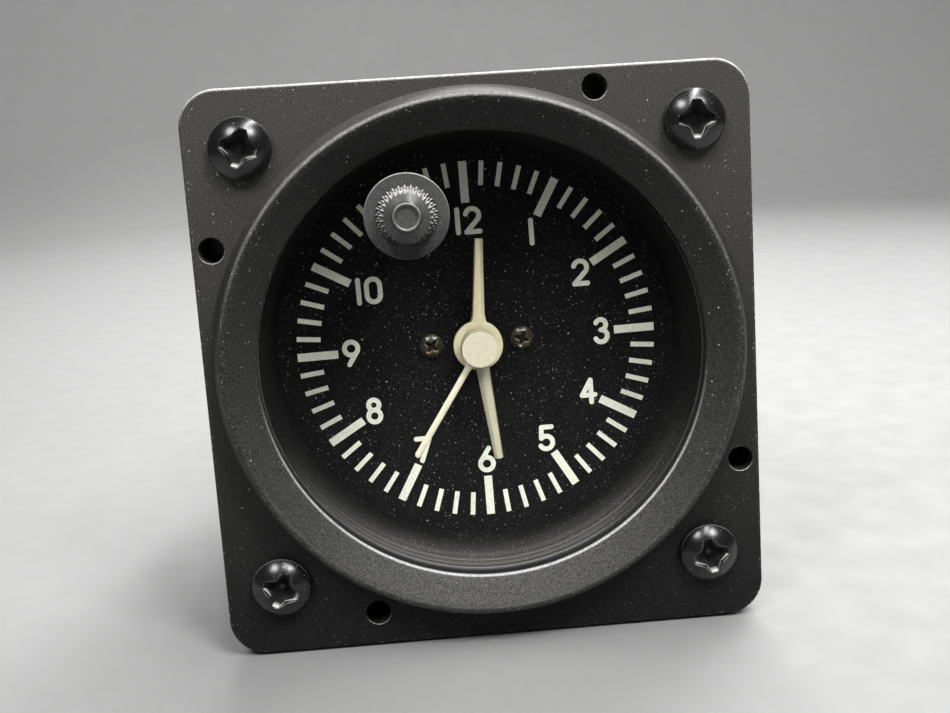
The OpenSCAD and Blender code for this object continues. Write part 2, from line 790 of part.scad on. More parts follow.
// Movement plates
module front_plate() color(brass) facing() difference() {
    disc(plate_r, plate_back, dial_back);
    disc(hour_pipe_r + run, plate_back - over, dial_back + over);
    at(set_pos) disc(shaft_r + run, plate_back - over, dial_back + over);
    at(motion_pos) disc(post_r, plate_back - over, dial_back + over);
    at_each([third_pos, inter_pos, rotor_pos]) disc(pivot_r + run, plate_back - over, dial_back + over);
    at_each(pillar_places) disc(tenon_r, plate_back - over, dial_back + over);
    at_each(dial_screw_places) disc(dial_screw_d / 2, plate_back - over, dial_back + over);
}
post_r = 0.6;
tenon_r = pillar_d / 4;
pillar_screw_r = 0.7;

module rear_plate() color(brass) facing() difference() {
    disc(rear_plate_r, rear_back, rear_front);
    at_each([axis_at, third_pos, inter_pos, rotor_pos]) disc(pivot_r + run, rear_back - over, rear_front + over);
    at_each(pillar_places) disc(pillar_screw_r + fit, rear_back - over, rear_front + over);
    at_each(coil_pin_places) disc(coil_pin_r + 3 * fit, rear_back - over, rear_front + over);
    at_each(post_places) disc(tenon_r, rear_back - over, rear_front + over);
    at_each(standoff_places) disc(tenon_r, rear_back - over, rear_front + over);
}

module plate_pillars() color(steel) facing() at_each(pillar_places) difference() {
    union() {
        disc(pillar_d / 2, rear_front, plate_back);
        disc(tenon_r, rear_front + pillar_d, dial_back);
    }
    disc(pillar_screw_r, rear_front - over, rear_front + pillar_d);
}

// Slotted screw whose head lies behind z_seat and whose thread goes forward
module slotted_screw(r, z_seat, l) {
    head_r = 2.1 * r;
    head_h = 1.3 * r;
    difference() {
        disc(head_r, z_seat - head_h, z_seat);
        translate([-head_r - over, -head_h / 4, z_seat - head_h - over])
            cube([2 * head_r + 2 * over, head_h / 2, head_h / 2 + over]);
    }
    disc(r, z_seat - head_h / 4, z_seat + l);
}

module pillar_screws() color(steel) facing() at_each(pillar_places)
    slotted_screw(pillar_screw_r, rear_back, rear_plate_t + 0.9 * pillar_d);

// Motion work: minutes to hours
pinion_over = 0.2;
cannon_z0 = motion_z0 - pinion_over;
cannon_z1 = motion_z1 + pinion_over;

module cannon_pinion() color(steel) facing() difference() {
    union() {
        gear(cannon_n, motion_m, 0, cannon_z0, cannon_z1);
        disc(cannon_r, cannon_z0, minute_hand_z + hand_t);
    }
    disc(cannon_bore_r, cannon_z0 - over, minute_hand_z + hand_t + over);
}

module motion_wheel() color(brass) facing() at(motion_pos) difference() {
    union() {
        wheel(motion_n, motion_m, motion_turn, motion_z0, motion_z1, post_r + run);
        gear(motion_pinion_n, hour_m, motion_pinion_turn, motion_z1, hour_z1 + pinion_over);
    }
    disc(post_r + run, motion_z0 - over, hour_z1 + over);
}

module motion_post() color(steel) facing() at(motion_pos) {
    disc(post_r, motion_z0 - shake, dial_back);
    disc(2 * post_r, hour_z1 + pinion_over + shake, plate_back);
    disc(2 * post_r, motion_z0 - shake - 0.3, motion_z0 - shake);
}

module hour_wheel() color(brass) facing() difference() {
    union() {
        wheel(hour_n, hour_m, hour_turn, hour_z0, hour_z1, hour_bore_r);
        disc(hour_pipe_r, cannon_z1 + shake, hour_hand_z + hand_t);
        disc(hour_pipe_r + 0.6, hour_z1, plate_back - shake);
    }
    disc(hour_bore_r, cannon_z1 - over, hour_hand_z + hand_t + over);
}

// Going train: rotor to seconds to minutes
module centre_wheel() color(brass) facing() difference() {
    union() {
        wheel(centre_n, centre_m, centre_turn, centre_z0, centre_z1, seconds_r + run);
        disc(centre_pipe_r, centre_z0 - pinion_over, hour_hand_z);
        disc(cannon_r, centre_z1, cannon_z0 - shake);
    }
    disc(seconds_r + run, centre_z0 - over, hour_hand_z + over);
}

module seconds_arbor() color(steel) facing() {
    disc(seconds_r, seconds_z0, seconds_hand_z + hand_t / 2);
    disc(arbor_r, rear_front + shake, seconds_z1);
    disc(pivot_r, rear_front - pivot_l, rear_front + shake);
    gear(pinion_n, third_m, 0, seconds_z1, third_z1 + pinion_over);
}

module seconds_wheel() color(brass) facing() wheel(seconds_n, seconds_m, 0, seconds_z0, seconds_z1, arbor_r);

module third_pinion() color(steel) facing() at(third_pos) {
    arbor();
    gear(pinion_n, centre_m, third_turn, third_z1, centre_z1 + pinion_over);
}

module third_wheel() color(brass) facing() at(third_pos)
    wheel(third_n, third_m, third_turn, third_z0, third_z1, arbor_r);

module intermediate_pinion() color(steel) facing() at(inter_pos) {
    arbor();
    gear(pinion_n, seconds_m, inter_pinion_turn, inter_z1, seconds_z1 + pinion_over);
}

module intermediate_wheel() color(brass) facing() at(inter_pos)
    wheel(inter_n, rotor_m, inter_pinion_turn, inter_z0, inter_z1, arbor_r);

// Stepping motor
magnet_z0 = inter_z1 + 3 * pinion_over;
magnet_z1 = magnet_z0 + magnet_l;
stator_t = 0.8;
stator_z0 = (magnet_z0 + magnet_z1 - stator_t) / 2;
stator_z1 = stator_z0 + stator_t;
coil_x = rotor_r + magnet_d / 2 + coil_d / 2 + 1;
arm_w = 3;
arm_y = coil_l / 2 + 0.8;
arm_end = arm_y + arm_w;
core_w = 2;
post_places = [for (s = [-1, 1]) [coil_x, s * (arm_y + arm_w / 2)]];
motor_screw_r = 0.6;
motor_post_r = 1.3;
coil_pin_r = 0.3;
coil_pin_places = [for (s = [-1, 1]) [coil_x - coil_d / 2 - coil_pin_r - fit / 2, s * (coil_l / 2 - 0.4)]];

module rotor_pinion() color(steel) facing() at(rotor_pos) {
    arbor();
    gear(pinion_n, rotor_m, rotor_turn, inter_z0 - pinion_over, inter_z1 + 2 * pinion_over);
}

module rotor_magnet() color([0.3, 0.3, 0.32]) facing() at(rotor_pos)
    ring(magnet_d / 2, arbor_r, magnet_z0, magnet_z1);

module stator() color([0.55, 0.56, 0.58]) facing() {
    x0 = rotor_r - magnet_d / 2 - 1.2;
    x1 = coil_x + core_w;
    bridge_w = coil_x - coil_d / 2 - 0.9 - x0;
    difference() {
        translate([x0, -arm_end, stator_z0]) union() {
            cube([bridge_w, 2 * arm_end, stator_t]);
            for (y = [0, 2 * arm_end - arm_w]) translate([0, y, 0]) cube([x1 - x0, arm_w, stator_t]);
        }
        at(rotor_pos) disc(magnet_d / 2 + 4 * fit, stator_z0 - over, stator_z1 + over);
        at_each(post_places) disc(motor_screw_r, stator_z0 - over, stator_z1 + over);
    }
}

module coil_core() color([0.5, 0.5, 0.52]) facing() difference() {
    translate([coil_x - core_w / 2, -arm_end, stator_z1]) cube([core_w, 2 * arm_end, stator_t]);
    at_each(post_places) disc(motor_screw_r, stator_z1 - over, stator_z1 + stator_t + over);
}

// Lies along the core
module along_core(l) translate([coil_x, l / 2, stator_z1 + stator_t / 2]) rotate([90, 0, 0]) children();

module core_slot(l) cube([core_w, stator_t, 2 * l], center = true);

module coil_bobbin() color([0.85, 0.82, 0.7]) facing() {
    flange_h = 0.6;
    tube_r = core_w / 2 + 0.4;
    along_core(coil_l) difference() {
        union() {
            cylinder(r = tube_r, h = coil_l);
            for (z = [0, coil_l - flange_h]) translate([0, 0, z]) cylinder(d = coil_d, h = flange_h);
        }
        core_slot(2 * coil_l);
    }
}

module coil_winding() color([0.65, 0.33, 0.16]) facing() {
    flange_h = 0.6;
    tube_r = core_w / 2 + 0.4;
    along_core(coil_l - 2 * flange_h) difference() {
        cylinder(d = coil_d - 2 * fit, h = coil_l - 2 * flange_h);
        translate([0, 0, -over]) cylinder(r = tube_r, h = coil_l);
    }
}

module coil_pins() color(steel) facing() at_each(coil_pin_places)
    disc(coil_pin_r, board_back, stator_z1 + stator_t / 2);

module stator_posts() color(brass) facing() at_each(post_places) difference() {
    union() {
        disc(motor_post_r, rear_front, stator_z0);
        disc(tenon_r, rear_back, rear_front + over);
    }
    disc(motor_screw_r, rear_front + rear_plate_t / 2, stator_z0 + over);
}

module stator_screws() color(steel) facing() at_each(post_places) rotate([180, 0, 0])
    slotted_screw(motor_screw_r, -stator_z1 - stator_t, 3.5 * stator_t);

// Electronics
module circuit_board() color([0.1, 0.32, 0.18]) facing() difference() {
    disc(board_d / 2, board_back, board_front);
    at_each(standoff_places) disc(motor_screw_r + fit, board_back - over, board_front + over);
    at_each(coil_pin_places) disc(coil_pin_r, board_back - over, board_front + over);
    at_each(stud_places) disc(lead_r, board_back - over, board_front + over);
}
lead_r = 0.6;
standoff_r = 1.7;

module board_standoffs() color(brass) facing() at_each(standoff_places) difference() {
    union() {
        disc(standoff_r, board_front, rear_back);
        disc(tenon_r, rear_back - board_gap / 4, rear_front);
    }
    disc(motor_screw_r, board_front - over, board_front + 0.7 * board_gap);
}

module board_screws() color(steel) facing() at_each(standoff_places)
    slotted_screw(motor_screw_r, board_back, board_t + 0.6 * board_gap);

// Parts on the back of the board
chip_pos = [-7, 0];
chip_size = [6, 5, 1.4];
chip_leg = [0.6, 1, 0.4];
crystal_pos = [4, 4];
crystal_r = 1.2;
crystal_l = 7;
capacitor_pos = [7, -6];
capacitor_r = 3.1;
capacitor_h = 6;
regulator_pos = [-10, -11];
regulator_size = [6.5, 5, 2.4];
regulator_tab = [6.5, 2.2, 0.6];

module on_board(p, size) translate([p[0], p[1], board_back - size[2]]) cube(size);

module driver_chip() color([0.06, 0.06, 0.06]) facing() {
    pitch = chip_size[0] / 4;
    on_board(chip_pos, chip_size);
    for (i = [0:3], y = [-chip_leg[1], chip_size[1]])
        on_board(chip_pos + [pitch * (i + 0.5) - chip_leg[0] / 2, y], chip_leg);
}

module quartz_crystal() color([0.75, 0.76, 0.78]) facing() {
    translate([crystal_pos[0], crystal_pos[1], board_back - crystal_r]) rotate([0, 90, 0])
        cylinder(r = crystal_r, h = crystal_l);
}

module capacitor() color([0.12, 0.14, 0.3]) facing() at(capacitor_pos)
    disc(capacitor_r, board_back - capacitor_h, board_back);

module regulator() color([0.08, 0.08, 0.08]) facing() {
    on_board(regulator_pos, regulator_size);
    on_board(regulator_pos - [0, regulator_tab[1]], regulator_tab);
}

// Rear cover and terminals
shank_r = stud_d / 2 + shank_step;
stud_hole_r = shank_r + insulator_t;
nut_back = cover_back - insulator_t - nut_h;
stud_head_h = 1.2;

module rear_cover() color(black) facing() difference() {
    disc(case_d / 2, cover_back, cover_front);
    at_each(boss_places) disc(cover_screw_d / 2 + fit, cover_back - over, cover_front + over);
    at_each(stud_places) disc(stud_hole_r + fit, cover_back - over, cover_front + over);
}

module cover_gasket() color([0.05, 0.05, 0.05]) facing()
    ring(case_d / 2, bore_r, cover_front, -case_l);

module cover_screws() color(steel) facing() at_each(boss_places)
    slotted_screw(cover_screw_d / 2, cover_back, cover_t + cover_gasket_t + 0.8 * boss_l);

module terminal_studs() color(brass) facing() at_each(stud_places) {
    disc(stud_d / 2, cover_back - stud_l, nut_back + over);
    disc(shank_r, nut_back, cover_front + insulator_t);
    disc(shank_r + insulator_t, cover_front + insulator_t, cover_front + insulator_t + stud_head_h);
}

module terminal_insulators() color([0.45, 0.2, 0.1]) facing() at_each(stud_places) {
    flange_r = stud_hole_r + insulator_t;
    difference() {
        union() {
            disc(stud_hole_r, cover_back + fit, cover_front + insulator_t);
            disc(flange_r, cover_front, cover_front + insulator_t);
        }
        disc(shank_r, cover_back - over, cover_front + insulator_t + over);
    }
    ring(flange_r, shank_r, cover_back - insulator_t, cover_back);
}

module terminal_nuts() color(brass) facing() at_each(stud_places) difference() {
    translate([0, 0, nut_back]) cylinder(d = nut_w / cos(30), h = nut_h, $fn = 6);
    disc(shank_r, nut_back - over, nut_back + nut_h + over);
}

module terminal_leads() color([0.7, 0.12, 0.1]) facing() at_each(stud_places)
    disc(lead_r, cover_front + insulator_t + stud_head_h, board_front);

case();
bezel_ring();
lens();
lens_gasket();
dial_sleeve();
dial();
dial_marks();
dial_screws();
hour_hand();
minute_hand();
seconds_hand();
mounting_screws();
set_knob();
set_shaft();
set_pinion();
spring_washer();
set_spring();
shaft_bush();
bush_nut();
shaft_o_ring();
front_plate();
rear_plate();
plate_pillars();
pillar_screws();
cannon_pinion();
motion_wheel();
motion_post();
hour_wheel();
seconds_arbor();
seconds_wheel();
third_pinion();
third_wheel();
centre_wheel();
intermediate_pinion();
intermediate_wheel();
rotor_pinion();
rotor_magnet();
stator();
coil_core();
coil_bobbin();
coil_winding();
coil_pins();
stator_posts();
stator_screws();
circuit_board();
board_standoffs();
board_screws();
driver_chip();
quartz_crystal();
capacitor();
regulator();
rear_cover();
cover_gasket();
cover_screws();
terminal_studs();
terminal_insulators();
terminal_nuts();
terminal_leads();
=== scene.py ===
import json
import math

import bmesh
import bpy
from mathutils import Matrix, Vector
from mathutils.bvhtree import BVHTree

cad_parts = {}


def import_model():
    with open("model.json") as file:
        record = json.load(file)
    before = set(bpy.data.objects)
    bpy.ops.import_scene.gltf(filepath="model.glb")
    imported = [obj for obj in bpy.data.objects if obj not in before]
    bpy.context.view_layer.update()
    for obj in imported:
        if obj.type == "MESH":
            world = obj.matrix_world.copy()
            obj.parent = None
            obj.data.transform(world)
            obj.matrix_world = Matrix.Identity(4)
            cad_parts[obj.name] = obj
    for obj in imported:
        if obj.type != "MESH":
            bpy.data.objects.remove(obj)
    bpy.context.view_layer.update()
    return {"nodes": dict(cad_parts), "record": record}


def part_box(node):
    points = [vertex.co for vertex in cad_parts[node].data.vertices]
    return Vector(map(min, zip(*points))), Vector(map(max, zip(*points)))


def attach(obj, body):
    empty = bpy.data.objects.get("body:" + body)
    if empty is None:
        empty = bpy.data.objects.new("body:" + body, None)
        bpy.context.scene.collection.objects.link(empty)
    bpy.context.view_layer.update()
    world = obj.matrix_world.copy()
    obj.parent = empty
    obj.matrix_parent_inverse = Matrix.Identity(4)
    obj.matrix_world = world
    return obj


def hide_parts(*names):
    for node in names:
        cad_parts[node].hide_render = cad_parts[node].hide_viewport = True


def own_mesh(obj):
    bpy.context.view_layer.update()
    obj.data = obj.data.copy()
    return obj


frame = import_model()

# Shapes are drawn in millimetres facing the clock: x to the right, y up, z towards the viewer
MM = 0.001
FACING = Matrix(((MM, 0, 0, 0), (0, 0, -MM, 0), (0, MM, 0, 0), (0, 0, 0, 1)))


class Span:
    """A CAD node's extent in the drawing's millimetres."""

    def __init__(self, node):
        low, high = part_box(node)
        self.x0, self.x1 = low.x / MM, high.x / MM
        self.y0, self.y1 = low.z / MM, high.z / MM
        self.z0, self.z1 = -high.y / MM, -low.y / MM
        self.at = ((self.x0 + self.x1) / 2, (self.y0 + self.y1) / 2)
        self.r = (self.x1 - self.x0) / 2


# Sizes that come from the frame
case = Span("case")
bezel = Span("bezel_ring")
lens = Span("lens")
gasket = Span("lens_gasket")
sleeve = Span("dial_sleeve")
dial = Span("dial")
knob = Span("set_knob")
coil = Span("set_spring")
cover = Span("rear_cover")
mounts = {mount["name"]: mount for mount in frame["record"]["mounts"]}
screw_step = mounts["panel_studs"]["dims"]["spacing_x_mm"] / 2
screw_r = mounts["panel_studs"]["dims"]["stud_r_mm"]
side_hole_r = mounts["flange_holes"]["dims"]["hole_r_mm"]
side_hole_reach = mounts["flange_holes"]["dims"]["pcd_mm"] / 2
stud_r = mounts["terminal_left"]["dims"]["r_mm"]
stud_places = [
    (mounts[name]["pos_m"][0] / MM, mounts[name]["pos_m"][2] / MM)
    for name in ("terminal_left", "terminal_right")
]
flange_front = case.z1

# Sizes that repeat the part's own
case_r = 27.5
case_bore_r = 25.9
flange_back = 0.0
flange_corner_r = 3.9
side_hole_turn = 25.8
lip_r = 24.0
dial_open_r = 23.1
bezel_edge_r = 27.4
lip_front = 4.25
dial_turn = 1
boss_ring_r = 24.3
shank_r = 2.38
insulator_t = 0.8

# Places of pieces that come in fours, and the turn of each mounting screw's recess
SIGNS = (-1, 1)
screw_places = [(x * screw_step, y * screw_step) for x in SIGNS for y in SIGNS]
screw_turns = (24, 18, -12, 0)
side_hole_angles = [90 * k - side_hole_turn for k in range(4)]
boss_angles = [90 * k for k in range(4)]


def polar(r, degrees):
    """The point at a radius and an angle."""
    a = math.radians(degrees)
    return (r * math.cos(a), r * math.sin(a))


# Mesh helpers

def rounded(points, radius, steps=5):
    """An open profile with each inner corner rounded off."""
    side_share = 0.45
    out = [points[0]]
    for before, corner, after in zip(points, points[1:], points[2:]):
        p, a, b = Vector(corner), Vector(before), Vector(after)
        reach = min(radius, side_share * (a - p).length, side_share * (b - p).length)
        start = p + (a - p).normalized() * reach
        end = p + (b - p).normalized() * reach
        for k in range(steps + 1):
            t = k / steps
            q = start * (1 - t) ** 2 + p * 2 * t * (1 - t) + end * t ** 2
            out.append((q.x, q.y))
    out.append(points[-1])
    return out


def band(r0, r1, z0, z1):
    """The profile of a plain ring between two radii and two heights."""
    return [(r0, z0), (r1, z0), (r1, z1), (r0, z1), (r0, z0)]


def bridge(bm, low, high):
    """Faces between two rings of as many points."""
    n = len(low)
    for i in range(n):
        j = (i + 1) % n
        bm.faces.new((low[i], low[j], high[j], high[i]))


def bridge_all(bm, rings):
    """Faces along a row of rings."""
    for low, high in zip(rings, rings[1:]):
        bridge(bm, low, high)


def skin(bm, rings):
    """A closed body along a row of rings, flat at both ends."""
    bridge_all(bm, rings)
    bm.faces.new(rings[0])
    bm.faces.new(rings[-1])


def ring_of(bm, r, z, at, steps):
    """A round ring of points at one height."""
    points = [polar(r, 360 * i / steps) for i in range(steps)]
    return [bm.verts.new((at[0] + x, at[1] + y, z)) for x, y in points]


def cap(bm, ring, z, at):
    """Closes a ring with a fan."""
    middle = bm.verts.new((at[0], at[1], z))
    n = len(ring)
    for i in range(n):
        bm.faces.new((ring[i], ring[(i + 1) % n], middle))


def lathe(bm, profile, at=(0, 0), steps=192):
    """Turns a profile of (radius, height) points; an end on the axis is closed."""
    rings = []
    for r, z in profile:
        rings.append(ring_of(bm, r, z, at, steps) if r > 0 else z)
    for low, high in zip(rings, rings[1:]):
        if not isinstance(low, list):
            cap(bm, high, low, at)
        elif not isinstance(high, list):
            cap(bm, low, high, at)
        else:
            bridge(bm, low, high)


def disc_edge(r, at=(0, 0), steps=96):
    """A round outline that shrinks by an inset."""
    def points(inset):
        ring = [polar(r - inset, 360 * i / steps) for i in range(steps)]
        return [(at[0] + x, at[1] + y) for x, y in ring]
    return points


def hole_edge(r, at=(0, 0), steps=48):
    """A round hole that widens by an inset."""
    return lambda inset: disc_edge(r + inset, at, steps)(0)


def box_edge(x0, x1, y0, y1, corner_r, steps=12):
    """A rectangle with round corners that shrinks by an inset."""
    centres = [
        (x1 - corner_r, y1 - corner_r), (x0 + corner_r, y1 - corner_r),
        (x0 + corner_r, y0 + corner_r), (x1 - corner_r, y0 + corner_r),
    ]

    def points(inset):
        out = []
        for quarter, (cx, cy) in enumerate(centres):
            for i in range(steps + 1):
                x, y = polar(corner_r - inset, 90 * quarter + 90 * i / steps)
                out.append((cx + x, cy + y))
        return out
    return points


def hex_edge(r, at, steps=6):
    """A hexagon with its corners at radius r and points along its sides, that shrinks by an inset."""
    def points(inset):
        corners = [Vector(polar(r - inset, 60 * k)) for k in range(6)]
        out = []
        for a, b in zip(corners, corners[1:] + corners[:1]):
            out += [Vector(at) + a.lerp(b, k / steps) for k in range(steps)]
        return out
    return points


def plate(bm, outer, holes, z0, z1, bevel, steps=4):
    """A flat plate with rounded edges, a quarter as round at its holes."""
    quarter = [math.radians(90 * k / steps) for k in range(steps + 1)]
    margin = 0.1
    ends = ([], [])
    for edge, r in [(outer, bevel), *((hole, bevel / 4) for hole in holes)]:
        rim = [(z0 + r * (1 - math.cos(t)), r * (1 - math.sin(t))) for t in quarter]
        rim += [(z1 + z0 - z, inset) for z, inset in reversed(rim)]
        rim = [(z0, r + margin), *rim, (z1, r + margin)]
        rings = [[bm.verts.new((x, y, z)) for x, y in edge(inset)] for z, inset in rim]
        bridge_all(bm, rings)
        for loop, ring in zip(ends, (rings[0], rings[-1])):
            loop += [bm.edges.get((ring[i - 1], ring[i])) for i in range(len(ring))]
    for loop in ends:
        bmesh.ops.triangle_fill(bm, use_beauty=True, edges=loop)


def saw(u):
    """A triangle wave from 1 to 0 and back."""
    return abs(2 * (u % 1) - 1)


def thread(bm, r, depth, pitch, z0, z1, at, steps=40):
    """A rod with a screw thread that fades at its ends, its crests at radius r."""
    turn_rows = 8
    rows = int((z1 - z0) / pitch * turn_rows)
    rings = []
    for k in range(rows + 1):
        z = z0 + (z1 - z0) * k / rows
        fade = min(1, 2 * (z1 - z) / pitch, 2 * (z - z0) / pitch)
        ring = []
        for i in range(steps):
            cut = depth * (1 - fade * saw(z / pitch - i / steps))
            x, y = polar(r - cut, 360 * i / steps)
            ring.append(bm.verts.new((at[0] + x, at[1] + y, z)))
        rings.append(ring)
    bridge_all(bm, rings)
    cap(bm, rings[0], z0, at)
    cap(bm, rings[-1], z1, at)


def loose(bm):
    """An object made of a drawn mesh, for modifiers to work on."""
    bmesh.ops.recalc_face_normals(bm, faces=bm.faces)
    mesh = bpy.data.meshes.new("loose")
    bm.to_mesh(mesh)
    bm.free()
    obj = bpy.data.objects.new("loose", mesh)
    bpy.context.scene.collection.objects.link(obj)
    return obj


def applied(obj):
    """The object's mesh with its modifiers in it."""
    return bpy.data.meshes.new_from_object(obj.evaluated_get(bpy.context.evaluated_depsgraph_get()))


# Where a nearest-point search keeps the distance in what it returns
DISTANCE = 3


def carve(solid, cutters, soften):
    """Cuts closed meshes out of another, rounds the edges and keeps how deep each point lies."""
    surface = BVHTree.FromBMesh(solid)
    body = loose(solid)
    tools = [loose(bm) for bm in cutters]
    for tool in tools:
        cut = body.modifiers.new("cut", "BOOLEAN")
        cut.object = tool
        cut.solver = "EXACT"
    soft = body.modifiers.new("soften", "BEVEL")
    soft.width = soften
    soft.segments = 2
    soft.limit_method = "ANGLE"
    soft.angle_limit = math.radians(35)
    made = applied(body)
    out = bmesh.new()
    out.from_mesh(made)
    layer = out.verts.layers.float.new("hollow")
    for v in out.verts:
        v[layer] = surface.find_nearest(v.co)[DISTANCE]
    for obj in (body, *tools):
        bpy.data.meshes.remove(obj.data)
    bpy.data.meshes.remove(made)
    return out


def join(bm, other):
    """Adds another mesh to this one."""
    mesh = bpy.data.meshes.new("joining")
    other.to_mesh(mesh)
    other.free()
    bm.from_mesh(mesh)
    bpy.data.meshes.remove(mesh)


def turned(bm, degrees):
    """Turns what is drawn about the clock's axis, clockwise as seen."""
    bmesh.ops.rotate(bm, verts=bm.verts, matrix=Matrix.Rotation(math.radians(-degrees), 3, "Z"))


def mark_edges(bm):
    """Keeps how tightly each point bends outward, for wear and painted highlights on the edges."""
    slight, full, least_width = 0.7, 2.6, 0.01
    layer = bm.verts.layers.float.new("edge")
    for e in bm.edges:
        if len(e.link_faces) == 2:
            width = sum(f.calc_area() for f in e.link_faces) / (2 * e.calc_length())
            bend = e.calc_face_angle_signed(0) / max(width, least_width)
            share = min(1, max(0, bend - slight) / (full - slight))
            for v in e.verts:
                v[layer] = max(v[layer], share)


# Finishes

class Finish:
    """A material's nodes, with short calls for those used here. Lengths are in millimetres."""

    def __init__(self, name, **constants):
        self.material = bpy.data.materials.new(name)
        self.material.use_nodes = True
        tree = self.material.node_tree
        self.nodes, self.links = tree.nodes, tree.links
        self.shader = self.nodes["Principled BSDF"]
        where = self.nodes.new("ShaderNodeTexCoord")
        self.place, self.normal = where.outputs["Object"], where.outputs["Normal"]
        for socket, value in constants.items():
            self.put(self.shader.inputs[socket.replace("_", " ").title().replace("Ior", "IOR")], value)

    def put(self, socket, value):
        """Links a node's output to a socket, or sets the socket to a number or colour."""
        if isinstance(value, bpy.types.NodeSocket):
            self.links.new(value, socket)
        elif socket.type == "RGBA" and len(value) == 3:
            socket.default_value = (*value, 1)
        else:
            socket.default_value = value

    def stretched(self, stretch):
        """The place in the object, drawn out along the axes."""
        node = self.nodes.new("ShaderNodeMapping")
        self.put(node.inputs["Vector"], self.place)
        self.put(node.inputs["Scale"], [1 / s for s in stretch])
        return node.outputs["Vector"]

    def noise(self, size, detail=2.0, roughness=0.5, stretch=(1, 1, 1)):
        """Cloudy noise, mostly between 0.3 and 0.7."""
        node = self.nodes.new("ShaderNodeTexNoise")
        self.put(node.inputs["Vector"], self.stretched(stretch))
        self.put(node.inputs["Scale"], 1 / (size * MM))
        self.put(node.inputs["Detail"], detail)
        self.put(node.inputs["Roughness"], roughness)
        return node.outputs["Fac"]

    def ramp(self, value, low, high, to_low=0.0, to_high=1.0):
        """Maps one range onto another and stops at its ends."""
        node = self.nodes.new("ShaderNodeMapRange")
        for socket, v in zip(node.inputs, (value, low, high, to_low, to_high)):
            self.put(socket, v)
        return node.outputs["Result"]

    def patches(self, size, low, high):
        """A value that wanders between two others."""
        return self.ramp(self.noise(size, 3), 0.3, 0.7, low, high)

    def math(self, operation, a, b):
        node = self.nodes.new("ShaderNodeMath")
        node.operation = operation
        self.put(node.inputs[0], a)
        self.put(node.inputs[1], b)
        return node.outputs[0]

    def both(self, a, b):
        """The product of two shares."""
        return self.math("MULTIPLY", a, b)

    def mix(self, share, a, b):
        """From colour a at a share of 0 to colour b at 1."""
        node = self.nodes.new("ShaderNodeMix")
        node.data_type = "RGBA"
        self.put(node.inputs["Factor"], share)
        self.put(node.inputs[6], a)
        self.put(node.inputs[7], b)
        return node.outputs[2]

    def kept(self, name):
        """What a mesh keeps for each point: its edge or hollow."""
        node = self.nodes.new("ShaderNodeAttribute")
        node.attribute_name = name
        return node.outputs["Fac"]

    def ridges(self):
        """1 along the edges that stand out."""
        return self.kept("edge")

    def hollow(self, low, high, to_low=0.0, to_high=1.0):
        """0 to 1 between two depths inside a recess."""
        return self.ramp(self.kept("hollow"), low, high, to_low, to_high)

    def edges(self, size, low=0.35, high=0.65):
        """Worn stretches of the edges."""
        return self.both(self.ridges(), self.ramp(self.noise(size), low, high))

    def specks(self, spacing, radius, share):
        """Scattered round specks: dust, pits or flecks."""
        node = self.nodes.new("ShaderNodeTexVoronoi")
        self.put(node.inputs["Vector"], self.place)
        self.put(node.inputs["Scale"], 1 / (spacing * MM))
        rim = radius / spacing
        near = self.ramp(node.outputs["Distance"], rim, 0.6 * rim)
        split = self.nodes.new("ShaderNodeSeparateColor")
        self.put(split.inputs[0], node.outputs["Color"])
        some = self.math("GREATER_THAN", split.outputs[0], 1 - share)
        return self.both(near, some)

    def along(self, vector, axis, low, high):
        """0 to 1 between two values of a vector's part along one axis."""
        node = self.nodes.new("ShaderNodeSeparateXYZ")
        self.put(node.inputs[0], vector)
        return self.ramp(node.outputs[axis], low, high)

    def depth(self, low, high):
        """0 to 1 between two distances behind the flange's back."""
        return self.along(self.place, "Y", low * MM, high * MM)

    def height(self, low, high):
        """0 to 1 between two heights over the clock's axis."""
        return self.along(self.place, "Z", low * MM, high * MM)

    def upward(self, low, high):
        """0 to 1 between two shares of a face's look upward."""
        return self.along(self.normal, "Z", low, high)

    def frontal(self, low, high):
        """0 to 1 between two shares of a face's look to the front."""
        return self.along(self.normal, "Y", -low, -high)

    def bump(self, height, depth, strength=1.0):
        node = self.nodes.new("ShaderNodeBump")
        self.put(node.inputs["Height"], height)
        self.put(node.inputs["Distance"], depth * MM)
        self.put(node.inputs["Strength"], strength)
        self.put(self.shader.inputs["Normal"], node.outputs["Normal"])

    def colour(self, value):
        self.put(self.shader.inputs["Base Color"], value)

    def roughness(self, value):
        self.put(self.shader.inputs["Roughness"], value)


def grey(level, warm=0.0):
    """A grey, a little yellow where it is warm."""
    return (level * (1 + warm), level, level * (1 - 1.6 * warm))


def toned(f, size, colour, low, high):
    """The colour in lighter and darker patches."""
    dark = [c * low for c in colour]
    light = [c * high for c in colour]
    return f.mix(f.ramp(f.noise(size, 3), 0.35, 0.65), dark, light)


